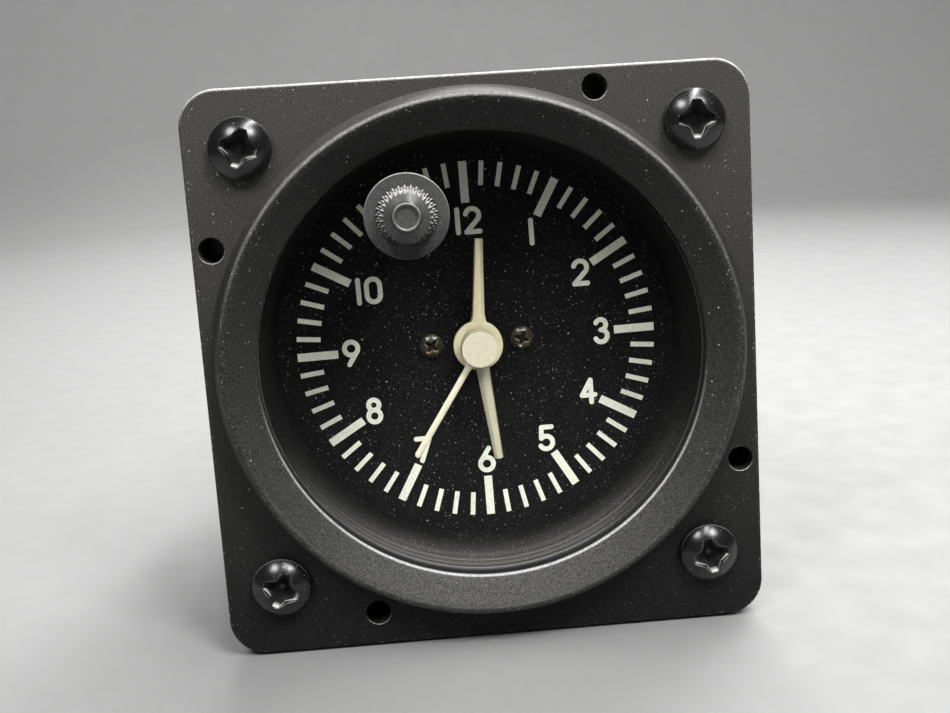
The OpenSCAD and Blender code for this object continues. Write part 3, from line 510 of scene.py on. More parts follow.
def painted(name, low, high, dust_and_painted_shade, smooth):
    """Grained black paint, specked and chipped, with painted light and shade from foot to head and
    painted edge highlights.
    """
    f = Finish(name, specular_ior_level=0.2)
    relief = f.noise(0.1, 1)
    grain = f.ramp(relief, 0.36, 0.64)
    # Painted light and shade: the grey runs from a foot value to a head value, lighter at the case's
    # top and at the bezel's bottom, as the light falls.
    foot = f.mix(grain, grey(0.15 * low, 0.01), grey(1.85 * low, 0.02))
    head = f.mix(grain, grey(0.2 * high, 0.01), grey(1.8 * high, 0.03))
    base = f.mix(f.height(-28, 26), foot, head)
    # Dust settles on the faces that look up.
    dust_and_painted_light = f.both(f.upward(0.3, 0.95), f.ramp(f.noise(0.1, 1), 0.42, 0.6, 0.1, 1.1))
    with_dust_and_painted_light = f.mix(dust_and_painted_light, base, grey(dust_and_painted_shade, 0.03))
    front = f.depth(9, 2)
    # Painted highlight: edges near the front that look up turn a pale grey, in patches.
    lit = f.both(f.both(f.ridges(), front), f.upward(0.05, 0.6))
    painted_edge_highlight = f.both(lit, f.ramp(f.noise(0.3), 0.3, 0.6, 0.5, 1))
    with_painted_highlight = f.mix(painted_edge_highlight, with_dust_and_painted_light, grey(0.6, 0.02))
    chipped = f.mix(f.edges(0.25, 0.62, 0.7), with_painted_highlight, grey(0.4, 0.02))
    salt = f.mix(f.specks(0.32, 0.06, 0.35), chipped, grey(0.11, 0.03))
    dotted = f.both(front, f.ramp(f.height(-26, 0), 0, 1, 0.3, 1))
    clusters = f.both(f.ramp(f.noise(1.6, 2), 0.5, 0.6), dotted)
    fine = f.mix(f.both(f.specks(0.45, 0.08, 0.4), clusters), salt, grey(0.42, 0.03))
    f.colour(f.mix(f.both(f.specks(0.9, 0.1, 0.12), dotted), fine, grey(0.5, 0.04)))
    f.roughness(f.patches(0.1, smooth, smooth + 0.12))
    f.bump(relief, 0.07, 0.9)
    return f.material


def knob_black():
    """Specked black plastic with a grey film on its front, kept off the lower part as painted shade,
    and painted edge highlights.
    """
    f = Finish("knob_black", specular_ior_level=0.45)
    base = toned(f, 0.3, grey(0.022), 0.85, 1.15)
    # Painted shade: the dust on the front stops short of the knob's lower part, which stays dark.
    dust_and_painted_shade = f.both(f.frontal(0.35, 0.9), f.height(11, 14.5))
    dust_and_painted_light = f.both(dust_and_painted_shade, f.ramp(f.noise(0.12, 2), 0.38, 0.62, 0.4, 1))
    with_dust_and_painted_light = f.mix(dust_and_painted_light, base, grey(0.1, 0.01))
    # Painted highlight: edges that don't look down turn a pale grey.
    lit = f.both(f.ridges(), f.upward(-0.1, 0.6))
    with_painted_knob_highlight = f.mix(lit, with_dust_and_painted_light, grey(0.42, 0.02))
    salt = f.mix(f.specks(0.25, 0.07, 0.5), with_painted_knob_highlight, grey(0.15, 0.02))
    f.colour(f.mix(f.specks(0.4, 0.08, 0.2), salt, grey(0.3, 0.03)))
    f.roughness(f.patches(0.3, 0.3, 0.4))
    f.bump(f.noise(0.1, 3), 0.003, 0.5)
    return f.material


def glass():
    """Clear glass with weak reflections, that lets the lamps through to the dial."""
    f = Finish("glass", base_color=(0.97, 0.98, 0.97), ior=1.46, transmission_weight=1.0)
    f.put(f.shader.inputs["Specular Tint"], grey(0.09))
    f.roughness(f.ramp(f.noise(2, 3), 0.4, 0.7, 0.0, 0.02))
    clear = f.nodes.new("ShaderNodeBsdfTransparent")
    path = f.nodes.new("ShaderNodeLightPath")
    mix = f.nodes.new("ShaderNodeMixShader")
    f.links.new(path.outputs["Is Shadow Ray"], mix.inputs[0])
    f.links.new(f.shader.outputs[0], mix.inputs[1])
    f.links.new(clear.outputs[0], mix.inputs[2])
    f.links.new(mix.outputs[0], f.nodes["Material Output"].inputs["Surface"])
    return f.material


def plain(name, colour, roughness, metallic=0.0, grain=0.2, depth=0.01):
    """A finish with gentle patches, grain and uneven gloss, paler on its edges."""
    f = Finish(name, metallic=metallic)
    pale = [min(1, 1.4 * c) for c in colour]
    f.colour(f.mix(f.edges(0.5), toned(f, 2, colour, 0.85, 1.15), pale))
    f.roughness(f.patches(0.6, 0.85 * roughness, 1.15 * roughness))
    f.bump(f.noise(grain, 3), depth, 0.5)
    return f.material


def brushed(name, colour, roughness, along=(12, 1, 1)):
    """A metal with fine lines along one direction."""
    f = Finish(name, metallic=1.0)
    lines = f.noise(0.12, 3, 0.6, along)
    f.colour(f.mix(f.ramp(lines, 0.3, 0.7), [0.85 * c for c in colour], colour))
    f.roughness(f.ramp(lines, 0.3, 0.7, 0.8 * roughness, 1.3 * roughness))
    f.bump(lines, 0.004, 0.5)
    return f.material


def dial_black():
    """Dull black with specks of three sizes."""
    f = Finish("dial_black", specular_ior_level=0.12)
    base = toned(f, 2, grey(0.004), 0.75, 1.25)
    faint = f.mix(f.specks(0.33, 0.085, 0.6), base, grey(0.07, 0.03))
    fine = f.mix(f.specks(0.55, 0.085, 0.45), faint, grey(0.27, 0.04))
    f.colour(f.mix(f.specks(1.2, 0.11, 0.13), fine, grey(0.5, 0.05)))
    f.roughness(f.patches(0.2, 0.7, 0.85))
    f.bump(f.noise(0.06, 3), 0.004, 0.5)
    return f.material


def sleeve_black():
    """Dull black with specks; where the wall looks up near the glass, painted light and bright turned
    rings, with painted shade towards the dial.
    """
    f = Finish("sleeve_black", specular_ior_level=0.12)
    base = toned(f, 1, grey(0.003), 0.7, 1.3)
    # Painted light: where the wall looks up near the glass it takes a dusty grey, which fades to black
    # towards the dial as painted shade.
    near = f.both(f.upward(0.4, 1.0), f.depth(6.8, 4.2))
    dust_and_painted_light = f.both(near, f.ramp(f.noise(0.14, 2), 0.4, 0.62, 0.3, 1))
    with_dust_and_painted_light = f.mix(dust_and_painted_light, base, grey(0.03, 0.05))
    # Painted highlights: bright turned rings where the wall looks up near the glass.
    rings = f.ramp(f.noise(0.16, 1, 0.5, (400, 1, 400)), 0.53, 0.58)
    front = f.both(f.upward(0.35, 0.9), f.depth(3.6, 0.8))
    with_painted_ring_highlights = f.mix(f.both(rings, front), with_dust_and_painted_light, grey(0.17, 0.03))
    flecked = f.both(f.specks(0.4, 0.08, 0.4), f.upward(-0.3, 0.8))
    f.colour(f.mix(flecked, with_painted_ring_highlights, grey(0.3, 0.05)))
    f.roughness(f.patches(0.2, 0.5, 0.65))
    f.bump(f.noise(0.1, 3), 0.01, 0.6)
    return f.material


def mark_paint():
    """Aged white paint with dark specks."""
    f = Finish("mark_paint", specular_ior_level=0.2)
    base = toned(f, 0.3, (0.8, 0.8, 0.68), 0.9, 1.05)
    f.colour(f.mix(f.specks(0.25, 0.07, 0.2), base, (0.46, 0.45, 0.37)))
    f.roughness(f.patches(0.2, 0.6, 0.75))
    f.bump(f.noise(0.06, 3), 0.006, 0.6)
    return f.material


def hand_paint(name, colour):
    """Aged ivory paint with brown specks, and painted shade: tan on its sloping faces and dark brown on
    the sides that look neither up nor front.
    """
    f = Finish(name, specular_ior_level=0.3)
    base = toned(f, 0.5, colour, 0.94, 1.04)
    # Painted shade: tan where faces slope away from the front, in patches.
    sloped_painted_shade = f.both(f.frontal(0.92, 0.5), f.ramp(f.noise(0.4), 0.3, 0.6, 0.6, 1))
    with_painted_slope_shade = f.mix(sloped_painted_shade, base, (0.36, 0.28, 0.16))
    # Painted shade: dark brown on the sides that look neither to the front nor up.
    under = f.both(f.frontal(0.45, 0.1), f.upward(0.6, 0.1))
    with_painted_side_shade = f.mix(under, with_painted_slope_shade, (0.07, 0.055, 0.03))
    f.colour(f.mix(f.specks(0.5, 0.07, 0.12), with_painted_side_shade, (0.3, 0.24, 0.15)))
    f.roughness(f.patches(0.2, 0.4, 0.55))
    f.bump(f.noise(0.08, 3), 0.004, 0.5)
    return f.material


def screw_finish(name, colour, fleck, painted_edge_highlight, deep):
    """A blackened screw, flecked, with a painted highlight where its edges look up and painted shade,
    black, deep in its recess.
    """
    f = Finish(name, specular_ior_level=0.65)
    base = toned(f, 0.25, colour, 0.85, 1.15)
    # Painted highlight: edges that look up take the highlight colour, fully in the recess and faintly
    # on the rim of the head.
    lit = f.both(f.ridges(), f.upward(0.1, 0.5))
    with_painted_highlight = f.mix(f.both(lit, f.hollow(0.0, 0.05, 0.12, 1)), base, painted_edge_highlight)
    flecked = f.mix(f.specks(0.35, 0.08, 0.12), with_painted_highlight, fleck)
    # Painted shade: the recess turns black with depth.
    f.colour(f.mix(f.hollow(0.4 * deep, deep), flecked, grey(0.001)))
    gloss = f.patches(0.2, 0.22, 0.29)
    f.roughness(f.math("MAXIMUM", gloss, f.hollow(0.5 * deep, deep)))
    f.bump(f.noise(0.2, 3), 0.003, 0.5)
    return f.material


FINISHES = {
    # For the case and bezel paint, low and high are painted light and shade: the greys at the foot and
    # at the head.
    "case_black": painted("case_black", low=0.009, high=0.055, dust_and_painted_shade=0.05, smooth=0.44),
    "bezel_black": painted("bezel_black", low=0.045, high=0.015, dust_and_painted_shade=0.12, smooth=0.37),
    "knob_black": knob_black(),
    "glass": glass(),
    "rubber": plain("rubber", grey(0.02), 0.7, grain=0.15),
    "dial_black": dial_black(),
    "sleeve_black": sleeve_black(),
    "mark_paint": mark_paint(),
    "hand_ivory": hand_paint("hand_ivory", (0.7, 0.63, 0.42)),
    "minute_ivory": hand_paint("minute_ivory", (0.45, 0.43, 0.315)),
    "seconds_ivory": hand_paint("seconds_ivory", (0.63, 0.585, 0.445)),
    "screw_black": screw_finish(
        "screw_black", grey(0.005), fleck=grey(0.2, 0.03), painted_edge_highlight=grey(0.7, 0.02), deep=0.45,
    ),
    "screw_bronze": screw_finish(
        "screw_bronze", (0.03, 0.025, 0.016), fleck=(0.3, 0.2, 0.08), painted_edge_highlight=(0.3, 0.22, 0.1), deep=0.16,
    ),
    "steel": brushed("steel", (0.56, 0.57, 0.58), 0.28),
    "brass": brushed("brass", (0.72, 0.52, 0.24), 0.3),
    "magnet": plain("magnet", grey(0.16), 0.45, metallic=0.8),
    "soft_iron": brushed("soft_iron", (0.42, 0.43, 0.44), 0.4),
    "bobbin_plastic": plain("bobbin_plastic", (0.75, 0.7, 0.56), 0.5),
    "copper": brushed("copper", (0.72, 0.32, 0.16), 0.3, along=(1, 1, 12)),
    "board_green": plain("board_green", (0.02, 0.12, 0.05), 0.35, grain=0.3, depth=0.005),
    "chip_black": plain("chip_black", grey(0.025), 0.5),
    "crystal_can": brushed("crystal_can", (0.7, 0.71, 0.72), 0.22),
    "capacitor_sleeve": plain("capacitor_sleeve", (0.03, 0.04, 0.14), 0.35),
    "insulator_brown": plain("insulator_brown", (0.14, 0.045, 0.02), 0.4),
    "lead_red": plain("lead_red", (0.45, 0.04, 0.03), 0.45),
}

# Each solid takes the finish of its own slot
for subpart in frame["record"]["subparts"]:
    solid = frame["nodes"][subpart["node"]]
    solid.data.materials.clear()
    solid.data.materials.append(FINISHES[subpart["material_slot"]])


def piece(name, bm, slot, body="clock_body", nodes=(), smooth=30, finish=None):
    """Makes what is drawn an object in its place, on its body."""
    bmesh.ops.remove_doubles(bm, verts=bm.verts, dist=1e-4)
    bmesh.ops.recalc_face_normals(bm, faces=bm.faces)
    mark_edges(bm)
    mesh = bpy.data.meshes.new(name)
    bm.to_mesh(mesh)
    bm.free()
    mesh.transform(FACING)
    mesh.shade_smooth()
    mesh.set_sharp_from_angle(angle=math.radians(smooth))
    mesh.materials.append(FINISHES[finish or slot])
    obj = bpy.data.objects.new(name, mesh)
    bpy.context.scene.collection.objects.link(obj)
    even = obj.modifiers.new("even", "WEIGHTED_NORMAL")
    even.keep_sharp = True
    obj.data = applied(obj)
    obj.data.name = name
    obj.modifiers.clear()
    if nodes:
        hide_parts(*nodes)
    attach(obj, body)
    return obj


# Flange and case

def case_body():
    """The flange with its holes, and the round case behind it."""
    screw_play = 0.1
    bm = bmesh.new()
    outline = box_edge(case.x0, case.x1, case.y0, case.y1, flange_corner_r)
    side_holes = [hole_edge(side_hole_r, polar(side_hole_reach, a)) for a in side_hole_angles]
    screw_holes = [hole_edge(screw_r + screw_play, p) for p in screw_places]
    bore = hole_edge(case_bore_r, steps=192)
    plate(bm, outline, [bore, *side_holes, *screw_holes], flange_back, flange_front, bevel=0.3)
    tube = [
        (case_bore_r, flange_back), (case_bore_r, case.z0),
        (case_r, case.z0), (case_r, flange_back),
    ]
    lathe(bm, rounded(tube, radius=0.4))
    piece("case_body", bm, "case_black", nodes=["case"])


def bezel_body():
    """The dished ring; its crest is drawn a little proud, because rounding takes it back."""
    spigot_r, seat_r, foot_h, lip_w, lip_h = 25.85, 25.0, 0.5, 0.35, 0.3
    proud_r, proud_h = 0.1, 0.28
    crest = Vector((bezel_edge_r + proud_r, bezel.z1 + proud_h))
    lip = Vector((lip_r + lip_w, lip_front))
    dish = tuple(crest.lerp(lip, 0.75))
    outer = [
        (seat_r, bezel.z0), (spigot_r, bezel.z0), (spigot_r, flange_front), (bezel.r, flange_front),
        (bezel.r, flange_front + foot_h), tuple(crest), dish,
    ]
    inner = [
        dish, tuple(lip), (lip_r, lip_front - lip_h), (lip_r, lens.z1),
        (seat_r, lens.z1), (seat_r, bezel.z0),
    ]
    bm = bmesh.new()
    lathe(bm, rounded(outer, radius=1.1, steps=10)[:-1] + rounded(inner, radius=0.22), steps=256)
    piece("bezel_body", bm, "case_black", nodes=["bezel_ring"], finish="bezel_black")


def lens_disc():
    """The glass, with the hole for the setting shaft's bush."""
    bush_r = 2.0
    bm = bmesh.new()
    outline = disc_edge(lens.r, steps=192)
    plate(bm, outline, [hole_edge(bush_r, knob.at)], lens.z0, lens.z1, bevel=0.12, steps=2)
    piece("lens_disc", bm, "glass", nodes=["lens"], smooth=15)


def inner_wall():
    """The wall between glass and dial."""
    profile = [
        (sleeve.r, sleeve.z0), (sleeve.r, sleeve.z1), (lip_r, sleeve.z1),
        (dial_open_r, sleeve.z0), (sleeve.r, sleeve.z0),
    ]
    bm = bmesh.new()
    lathe(bm, rounded(profile, radius=0.12), steps=256)
    piece("inner_wall", bm, "dial_black", nodes=["dial_sleeve"], finish="sleeve_black")


def lens_seal():
    """The gasket under the glass."""
    bm = bmesh.new()
    lathe(bm, rounded(band(gasket.r, lip_r, gasket.z0, gasket.z1), radius=0.1, steps=3), steps=256)
    piece("lens_seal", bm, "rubber", nodes=["lens_gasket"])


case_body()
bezel_body()
lens_disc()
inner_wall()
lens_seal()


# Screws

def crown(r, z0, z1):
    """The height of a pan head's round crown at a distance from its middle."""
    rise = 0.65 * (z1 - z0)
    crown_r = (r ** 2 + rise ** 2) / (2 * rise)
    return lambda x: z1 - crown_r + math.sqrt(max(0, crown_r ** 2 - x ** 2))


def pan_head(r, z0, z1, at):
    """A domed head: short straight rim and a round crown."""
    bm = bmesh.new()
    top = crown(r, z0, z1)
    rings = 14
    dome = [(r * k / rings, top(r * k / rings)) for k in range(rings - 1, -1, -1)]
    shoulder = rounded([(0.0, z0), (r, z0), (r, top(r)), dome[0]], radius=0.2)
    lathe(bm, shoulder + dome[1:], at, steps=72)
    return bm


def arm_cutter(levels, at, degrees, half, width, end_width):
    """One straight arm of a recess; levels hold a height at each radius and two scales."""
    bm = bmesh.new()
    turn = Matrix.Rotation(math.radians(-degrees), 2)
    outline = [
        (-half, -end_width), (0, -width), (half, -end_width),
        (half, end_width), (0, width), (-half, end_width),
    ]
    rings = []
    for height, along, across in levels:
        points = [turn @ Vector((x * along, y * across / 2)) for x, y in outline]
        rings.append([bm.verts.new((at[0] + p.x, at[1] + p.y, height(p.length))) for p in points])
    skin(bm, rings)
    bmesh.ops.triangulate(bm, faces=bm.faces)
    return bm


def cross_recess(w, depth, top, at, degrees, fat):
    """Cutters of a tapering cross recess with a chamfered rim: two arms and a pointed middle."""
    chamfer, over, clear = 0.035 * w, 0.04, top(0) + 0.5
    levels = [
        (lambda x: top(0) - depth, 0.55, 0.7), (lambda x: top(x) - chamfer, 0.94, 0.86),
        (lambda x: top(x) + over, 1.04, 1.12), (lambda x: clear, 1.06, 1.2),
    ]
    arms = [arm_cutter(levels, at, degrees + turn, w / 2, fat * w, 0.19 * w) for turn in (0, 90)]
    core = bmesh.new()
    r = 0.48 * fat * w
    profile = [
        (0.0, top(0) - 1.35 * depth), (0.6 * r, top(0) - 1.05 * depth), (0.9 * r, top(r) - chamfer),
        (1.1 * r, top(r) + over), (1.12 * r, clear), (0.0, clear),
    ]
    lathe(core, profile, at, steps=24)
    return [*arms, core]


def mounting_screws():
    heads = Span("mounting_screws")
    head_r = heads.x1 - screw_step
    neck_r = screw_r - 0.25
    top = crown(head_r, flange_front, heads.z1)
    bm = bmesh.new()
    for place, degrees in zip(screw_places, screw_turns):
        head = pan_head(head_r, flange_front, heads.z1, place)
        recess = cross_recess(w=4.0, depth=1.6, top=top, at=place, degrees=degrees, fat=0.72)
        join(bm, carve(head, recess, soften=0.05))
        thread(bm, screw_r, depth=0.22, pitch=0.7, z0=heads.z0, z1=flange_back, at=place)
        lathe(bm, [(neck_r, flange_back), (neck_r, flange_front)], place, steps=32)
    piece("mounting_screw_set", bm, "screw_black", nodes=["mounting_screws"])


def dial_screws():
    heads = Span("dial_screws")
    head_r, rod_r, reach, recess_turns = 1.4, 0.7, 5.3, (20, 38)
    top = crown(head_r, dial.z1, heads.z1)
    bm = bmesh.new()
    for k, degrees in enumerate(recess_turns):
        place = polar(reach, dial_turn + 180 * k)
        head = pan_head(head_r, dial.z1, heads.z1, place)
        recess = cross_recess(w=1.9, depth=0.65, top=top, at=place, degrees=degrees, fat=0.4)
        join(bm, carve(head, recess, soften=0.03))
        rod = [(0.0, heads.z0), (rod_r, heads.z0), (rod_r, dial.z1), (0.0, dial.z1)]
        lathe(bm, rod, place, steps=32)
    piece("dial_screw_pair", bm, "screw_bronze", nodes=["dial_screws"])


def hole_inserts():
    """Closed threaded inserts behind the flange's four small holes, with a collar against it."""
    l, wall, pitch, depth, collar_r, collar_t = 3.4, 0.35, 0.45, 0.12, 2.3, 0.7
    crest_r, floor_r = side_hole_r - 0.05, side_hole_r - 0.1
    back, outer = flange_back - l, side_hole_r + wall
    crests = [crest_r - depth * (k % 2) for k in range(int(2 * (l - 2 * wall) / pitch))]
    inner = [(r, flange_back - k * pitch / 2) for k, r in enumerate(crests)]
    outside = [
        (0.0, back), (outer, back), (outer, flange_back - collar_t), (collar_r, flange_back - collar_t),
        (collar_r, flange_back), inner[0],
    ]
    bm = bmesh.new()
    for angle in side_hole_angles:
        place = polar(side_hole_reach, angle)
        lathe(bm, [*inner, (floor_r, back + wall), (0.0, back + wall)], place, steps=40)
        lathe(bm, rounded(outside, radius=0.2, steps=3), place, steps=40)
    piece("hole_insert_set", bm, "screw_bronze")


mounting_screws()
dial_screws()
hole_inserts()


# Rear

def rear_plate_cover():
    screw_hole_r, stud_hole_r = 1.1, shank_r + insulator_t + 0.05
    bm = bmesh.new()
    screw_holes = [hole_edge(screw_hole_r, polar(boss_ring_r, a)) for a in boss_angles]
    stud_holes = [hole_edge(stud_hole_r, p) for p in stud_places]
    plate(bm, disc_edge(case_r, steps=192), screw_holes + stud_holes, cover.z0, cover.z1, bevel=0.3)
    piece("rear_cover_plate", bm, "case_black", nodes=["rear_cover"])


def cover_seal():
    seal = Span("cover_gasket")
    outer_r = seal.r - 0.15
    bm = bmesh.new()
    lathe(bm, rounded(band(case_bore_r, outer_r, seal.z0, seal.z1), radius=0.15, steps=3))
    piece("cover_seal", bm, "rubber", nodes=["cover_gasket"])


def cover_screws():
    screws = Span("cover_screws")
    head_r, head_h, rod_r, slot_w, middle = 2.1, 1.3, 1.0, 0.55, (0, 0)
    slot_turns = (12, 75, 140, 38)
    slot_levels = [(lambda x: 0.55 * head_h, 1, 0.9), (lambda x: 1.4 * head_h, 1, 1)]
    bm = bmesh.new()
    for angle, degrees in zip(boss_angles, slot_turns):
        place = polar(boss_ring_r, angle)
        head = pan_head(head_r, 0, head_h, middle)
        slot = arm_cutter(slot_levels, middle, degrees, 1.1 * head_r, slot_w, slot_w)
        head = carve(head, [slot], soften=0.04)
        bmesh.ops.rotate(head, verts=head.verts, matrix=Matrix.Rotation(math.pi, 3, "X"))
        bmesh.ops.translate(head, verts=head.verts, vec=(*place, cover.z0))
        join(bm, head)
        thread(bm, rod_r, depth=0.15, pitch=0.4, z0=cover.z0, z1=screws.z1, at=place, steps=24)
    piece("cover_screw_set", bm, "steel", nodes=["cover_screws"])


def terminals():
    """Two studs with their nuts, each insulated from the cover on both sides."""
    studs, nuts = Span("terminal_studs"), Span("terminal_nuts")
    rods, hexes, washers = bmesh.new(), bmesh.new(), bmesh.new()
    nut_corner_r = nuts.x1 - stud_places[1][0]
    hole_r = shank_r + insulator_t
    outer_r = hole_r + insulator_t
    front = cover.z1 + insulator_t
    thread_end = nuts.z0 + 0.05
    shank = [
        (0.0, nuts.z0), (shank_r, nuts.z0), (shank_r, front),
        (hole_r, front), (hole_r, studs.z1), (0.0, studs.z1),
    ]
    tube = [
        (shank_r, cover.z0), (hole_r, cover.z0), (hole_r, cover.z1), (outer_r, cover.z1),
        (outer_r, front), (shank_r, front), (shank_r, cover.z0),
    ]
    rim = band(shank_r, outer_r, nuts.z1, cover.z0)
    for place in stud_places:
        thread(rods, stud_r, depth=0.24, pitch=0.8, z0=studs.z0, z1=thread_end, at=place, steps=48)
        lathe(rods, rounded(shank, radius=0.15, steps=3), place, steps=64)
        nut_hole = hole_edge(shank_r, place)
        plate(hexes, hex_edge(nut_corner_r, place), [nut_hole], nuts.z0, nuts.z1, bevel=0.35)
        lathe(washers, rounded(rim, radius=0.15, steps=3), place, steps=64)
        lathe(washers, rounded(tube, radius=0.1, steps=3), place, steps=64)
    piece("terminal_rods", rods, "brass", nodes=["terminal_studs"])
    piece("terminal_hexes", hexes, "brass", nodes=["terminal_nuts"])
    piece("terminal_washers", washers, "insulator_brown", nodes=["terminal_insulators"])


rear_plate_cover()
cover_seal()
cover_screws()
terminals()


# Hands

def blade(bm, stations, z0, edge_h, ridge_h):
    """A hand's blade with a ridge along it; stations are (distance, half width)."""
    rings = []
    for y, w in stations:
        section = [
            (-w, z0), (-w, z0 + edge_h), (-0.8 * w, z0 + 0.8 * ridge_h), (-0.1 * w, z0 + ridge_h),
            (0.4 * w, z0 + 0.9 * ridge_h), (w, z0 + edge_h), (w, z0),
        ]
        rings.append([bm.verts.new((x, y, z)) for x, z in section])
    skin(bm, rings)


def flared(root, l, root_w, tip_w, flare):
    """Stations of a blade that widens where it joins its hub, with its tip's corners taken off."""
    flare_l, steps, corner_l, corner_w = 1.6, 8, 0.08, 0.06
    stations = []
    for k in range(steps + 1):
        y = root + flare_l * k / steps
        fall = (1 - k / steps) ** 2
        width = root_w + (tip_w - root_w) * y / l + 2 * flare * fall
        stations.append((y, width / 2))
    stations.append((l - corner_l, tip_w / 2))
    stations.append((l, tip_w / 2 - corner_w))
    return stations


def hub_ring(bm, r, bore, z0, z1):
    """A flat hub with softened rims."""
    lathe(bm, rounded(band(bore, r, z0, z1), radius=0.16, steps=4), steps=96)


# Where the hands point at rest, in degrees clockwise from 12
hour_at, minute_at, seconds_at = 3.8, 173.4, 213.5


def hour_hand():
    hand = Span("hour_hand")
    hub_r, l, root = 2.85, 12.2, 2.35
    bm = bmesh.new()
    hub_ring(bm, hub_r, 1.9, hand.z0, hand.z1)
    stations = flared(root, l, root_w=1.65, tip_w=0.95, flare=0.3)
    blade(bm, stations, hand.z0, edge_h=0.2, ridge_h=hand.z1 - hand.z0)
    turned(bm, hour_at)
    piece("hour_hand_blade", bm, "hand_ivory", "hour", ["hour_hand"])


def minute_hand():
    hand = Span("minute_hand")
    hub_r, l, root = 2.1, 13.2, 1.7
    bm = bmesh.new()
    hub_ring(bm, hub_r, 1.4, hand.z0, hand.z1)
    stations = flared(root, l, root_w=1.65, tip_w=1.0, flare=0.15)
    blade(bm, stations, hand.z0, edge_h=0.2, ridge_h=hand.z1 - hand.z0)
    turned(bm, minute_at)
    piece("minute_hand_blade", bm, "hand_ivory", "minute", ["minute_hand"], finish="minute_ivory")


def seconds_hand():
    """A slim blade with a round tip, flared under the cap that covers the middle of the hands."""
    hand = Span("seconds_hand")
    blade_z, blade_t, rod_r, cap_r, l, half = -4.2, 0.3, 1.2, 2.07, 14.4, 0.36
    flare_steps, flare_step, flare_w, tip_steps, least = 4, 0.3, 0.3, 6, 0.05
    stations = [(0.5, half)]
    for k in range(flare_steps + 1):
        y = cap_r - 0.2 + flare_step * k
        stations.append((y, half + flare_w * (1 - k / flare_steps) ** 2))
    for k in range(tip_steps + 1):
        x, y = polar(half, 90 * k / tip_steps)
        stations.append((l - half + y, max(x, least)))
    bm = bmesh.new()
    blade(bm, stations, blade_z, edge_h=0.15, ridge_h=blade_t)
    cap_z = blade_z + blade_t
    profile = [
        (0.0, hand.z0), (rod_r, hand.z0), (rod_r, cap_z),
        (cap_r, cap_z), (cap_r, hand.z1), (0.0, hand.z1),
    ]
    lathe(bm, rounded(profile, radius=0.14, steps=4), steps=96)
    turned(bm, seconds_at)
    piece("seconds_hand_blade", bm, "hand_ivory", "seconds", ["seconds_hand"], finish="seconds_ivory")


hour_hand()
minute_hand()
seconds_hand()


# Setting knob

def knurl(bm, low_r, high_r, depth, teeth, z0, z1, at):
    """A tapering band of crossed ridges that leave round beads, with a soft chamfer at its front."""
    tooth_steps, rows, chamfer, lean = 8, 24, 0.5, 0.42
    steps = teeth * tooth_steps
    rings = []
    for k in range(rows + 1):
        t = k / rows
        z = z0 + (z1 - z0) * t
        near = max(0, chamfer - (z1 - z)) / chamfer
        r = low_r + (high_r - low_r) * t - chamfer * near ** 2
        ring = []
        for i in range(steps):
            u, v = i / tooth_steps, lean * (z - z1)
            bead = abs(math.sin(math.pi * (u + v)) * math.sin(math.pi * (u - v)))
            x, y = polar(r - depth * (1 - near / 2) * (1 - bead), 360 * i / steps)
            ring.append(bm.verts.new((at[0] + x, at[1] + y, z)))
        rings.append(ring)
    bridge_all(bm, rings)


def setting_knob():
    """A skirt, a knurled body and a front with a raised ring."""
    skirt_z, shoulder_z, face_z = knob.z0 + 1.0, knob.z0 + 3.6, knob.z1 - 0.25
    bore_r, body_r, front_r, ring_r, ring_w = 1.2, 3.25, 2.85, 1.45, 0.3
    inset, sunk, lean, soft = 0.4, 0.1, 0.02, 0.14
    top_z, ring_in_r = skirt_z - sunk, ring_r - ring_w
    skirt = [
        (bore_r, knob.z0), (knob.r, knob.z0), (knob.r, skirt_z),
        (body_r - inset, top_z), (bore_r, top_z), (bore_r, knob.z0),
    ]
    front = [
        (front_r - inset, shoulder_z - 0.12), (ring_r + 0.2, face_z - 0.2),
        (ring_r + lean, face_z), (ring_r, knob.z1),
        (ring_in_r, knob.z1), (ring_in_r - lean, face_z), (0.0, face_z),
    ]
    bm = bmesh.new()
    lathe(bm, rounded(skirt, soft), knob.at, steps=128)
    knurl(bm, body_r, front_r, depth=0.32, teeth=30, z0=skirt_z - 0.2, z1=shoulder_z, at=knob.at)
    lathe(bm, rounded(front, soft), knob.at, steps=96)
    piece("setting_knob", bm, "knob_black", "set_spindle", ["set_knob"], smooth=50)


def setting_spring():
    """The coil behind the setting shaft, drawn at one length; in the clock it shortens towards its rear
    end as the knob is pushed in.
    """
    wire_r, turns, sides, turn_steps = 0.15, 7, 10, 32
    steps = turns * turn_steps
    coil_r, z_low, z_high = coil.r - wire_r, coil.z0 + wire_r, coil.z1 - wire_r
    bm = bmesh.new()
    rings = []
    for k in range(steps + 1):
        z = z_low + (z_high - z_low) * k / steps
        ring = []
        for i in range(sides):
            out, up = polar(wire_r, 360 * i / sides)
            x, y = polar(coil_r + out, 360 * k / turn_steps)
            ring.append(bm.verts.new((coil.at[0] + x, coil.at[1] + y, z + up)))
        rings.append(ring)
    skin(bm, rings)
    obj = piece("setting_spring", bm, "steel", nodes=["set_spring"], smooth=50)
    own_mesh(obj)


setting_knob()
setting_spring()


# Stage: floor, lights and camera, in metres

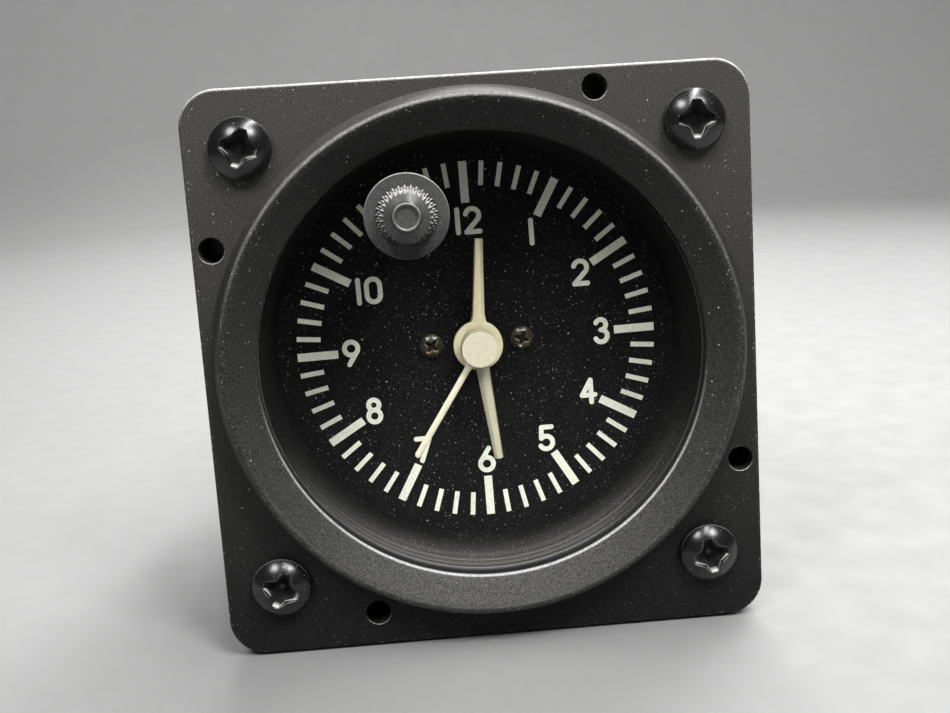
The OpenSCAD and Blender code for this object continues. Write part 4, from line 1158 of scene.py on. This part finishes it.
def floor():
    """A plain floor that curves up behind, under the flange's lower edge and the case's rear edge."""
    rise = (-case_r - case.y0) / -case.z0
    front, bend, bend_r, height, half, steps = -1.5, 0.3, 0.2, 0.6, 0.9, 12
    profile = [(front, 0.0), (0.0, 0.0)]
    for k in range(steps + 1):
        y, z = polar(bend_r, -90 + 90 * k / steps)
        profile.append((bend + y, bend_r + z))
    profile.append((bend + bend_r, height))
    bm = bmesh.new()
    rows = [[bm.verts.new((x, y, z)) for x in (-half, 0, half)] for y, z in profile]
    for low, high in zip(rows, rows[1:]):
        for i in range(2):
            bm.faces.new((low[i], low[i + 1], high[i + 1], high[i]))
    mesh = bpy.data.meshes.new("floor")
    bm.to_mesh(mesh)
    bm.free()
    mesh.shade_smooth()
    obj = bpy.data.objects.new("floor", mesh)
    obj.location = (0, 0, case.y0 * MM)
    obj.rotation_euler = (math.atan(rise), 0, 0)
    bpy.context.scene.collection.objects.link(obj)
    f = Finish("floor")
    f.colour(f.mix(f.noise(40, 3), (0.22, 0.22, 0.218), (0.235, 0.235, 0.233)))
    f.roughness(f.patches(5, 0.75, 0.9))
    mesh.materials.append(f.material)


def area_light(name, place, size, power, target=(0, 0, 0), spread=180):
    """A rectangular lamp turned to its target, the clock's middle if none is given."""
    data = bpy.data.lights.new(name, "AREA")
    data.shape = "RECTANGLE"
    data.size, data.size_y = size
    data.energy = power
    data.spread = math.radians(spread)
    obj = bpy.data.objects.new(name, data)
    obj.visible_camera = False
    obj.location = place
    obj.rotation_euler = (Vector(target) - Vector(place)).to_track_quat("-Z", "Y").to_euler()
    bpy.context.scene.collection.objects.link(obj)


def world():
    surround = bpy.data.worlds.new("surround")
    surround.use_nodes = True
    back = surround.node_tree.nodes["Background"]
    back.inputs["Color"].default_value = (0.97, 0.98, 1.0, 1)
    back.inputs["Strength"].default_value = 0.1
    bpy.context.scene.world = surround


def camera(place, forward, roll, focal):
    """A camera that looks along a direction, rolled by an angle in degrees."""
    data = bpy.data.cameras.new("camera")
    data.sensor_width = 36
    data.lens = focal
    data.clip_start = 0.005
    obj = bpy.data.objects.new("camera", data)
    obj.location = place
    obj.rotation_mode = "QUATERNION"
    level = Vector(forward).to_track_quat("-Z", "Y")
    obj.rotation_quaternion = level @ Matrix.Rotation(math.radians(roll), 3, "Z").to_quaternion()
    bpy.context.scene.collection.objects.link(obj)
    bpy.context.scene.camera = obj


floor()
area_light("left_key", (-0.2, -0.27, 0.385), size=(0.14, 0.14), power=1.32)
area_light("right_key", (0.2, -0.27, 0.385), size=(0.14, 0.14), power=1.72)
area_light("rim", (0.1, 0.26, 0.2), size=(0.5, 0.26), power=1.2, spread=90)
area_light("strip", (0.09, -0.03, 0.3), size=(0.46, 0.03), power=0.65, spread=120)
area_light("backdrop", (0, 0.2, 0.75), size=(0.8, 0.1), power=2.1, target=(0, 0.5, 0.3), spread=100)
world()
camera(
    place=(-0.0067365, -0.1243068, 0.0202911), forward=(0.04756262, 0.98542565, -0.163322),
    roll=-3.7656, focal=43.58,
)
bpy.context.scene.view_settings.view_transform = "Standard"
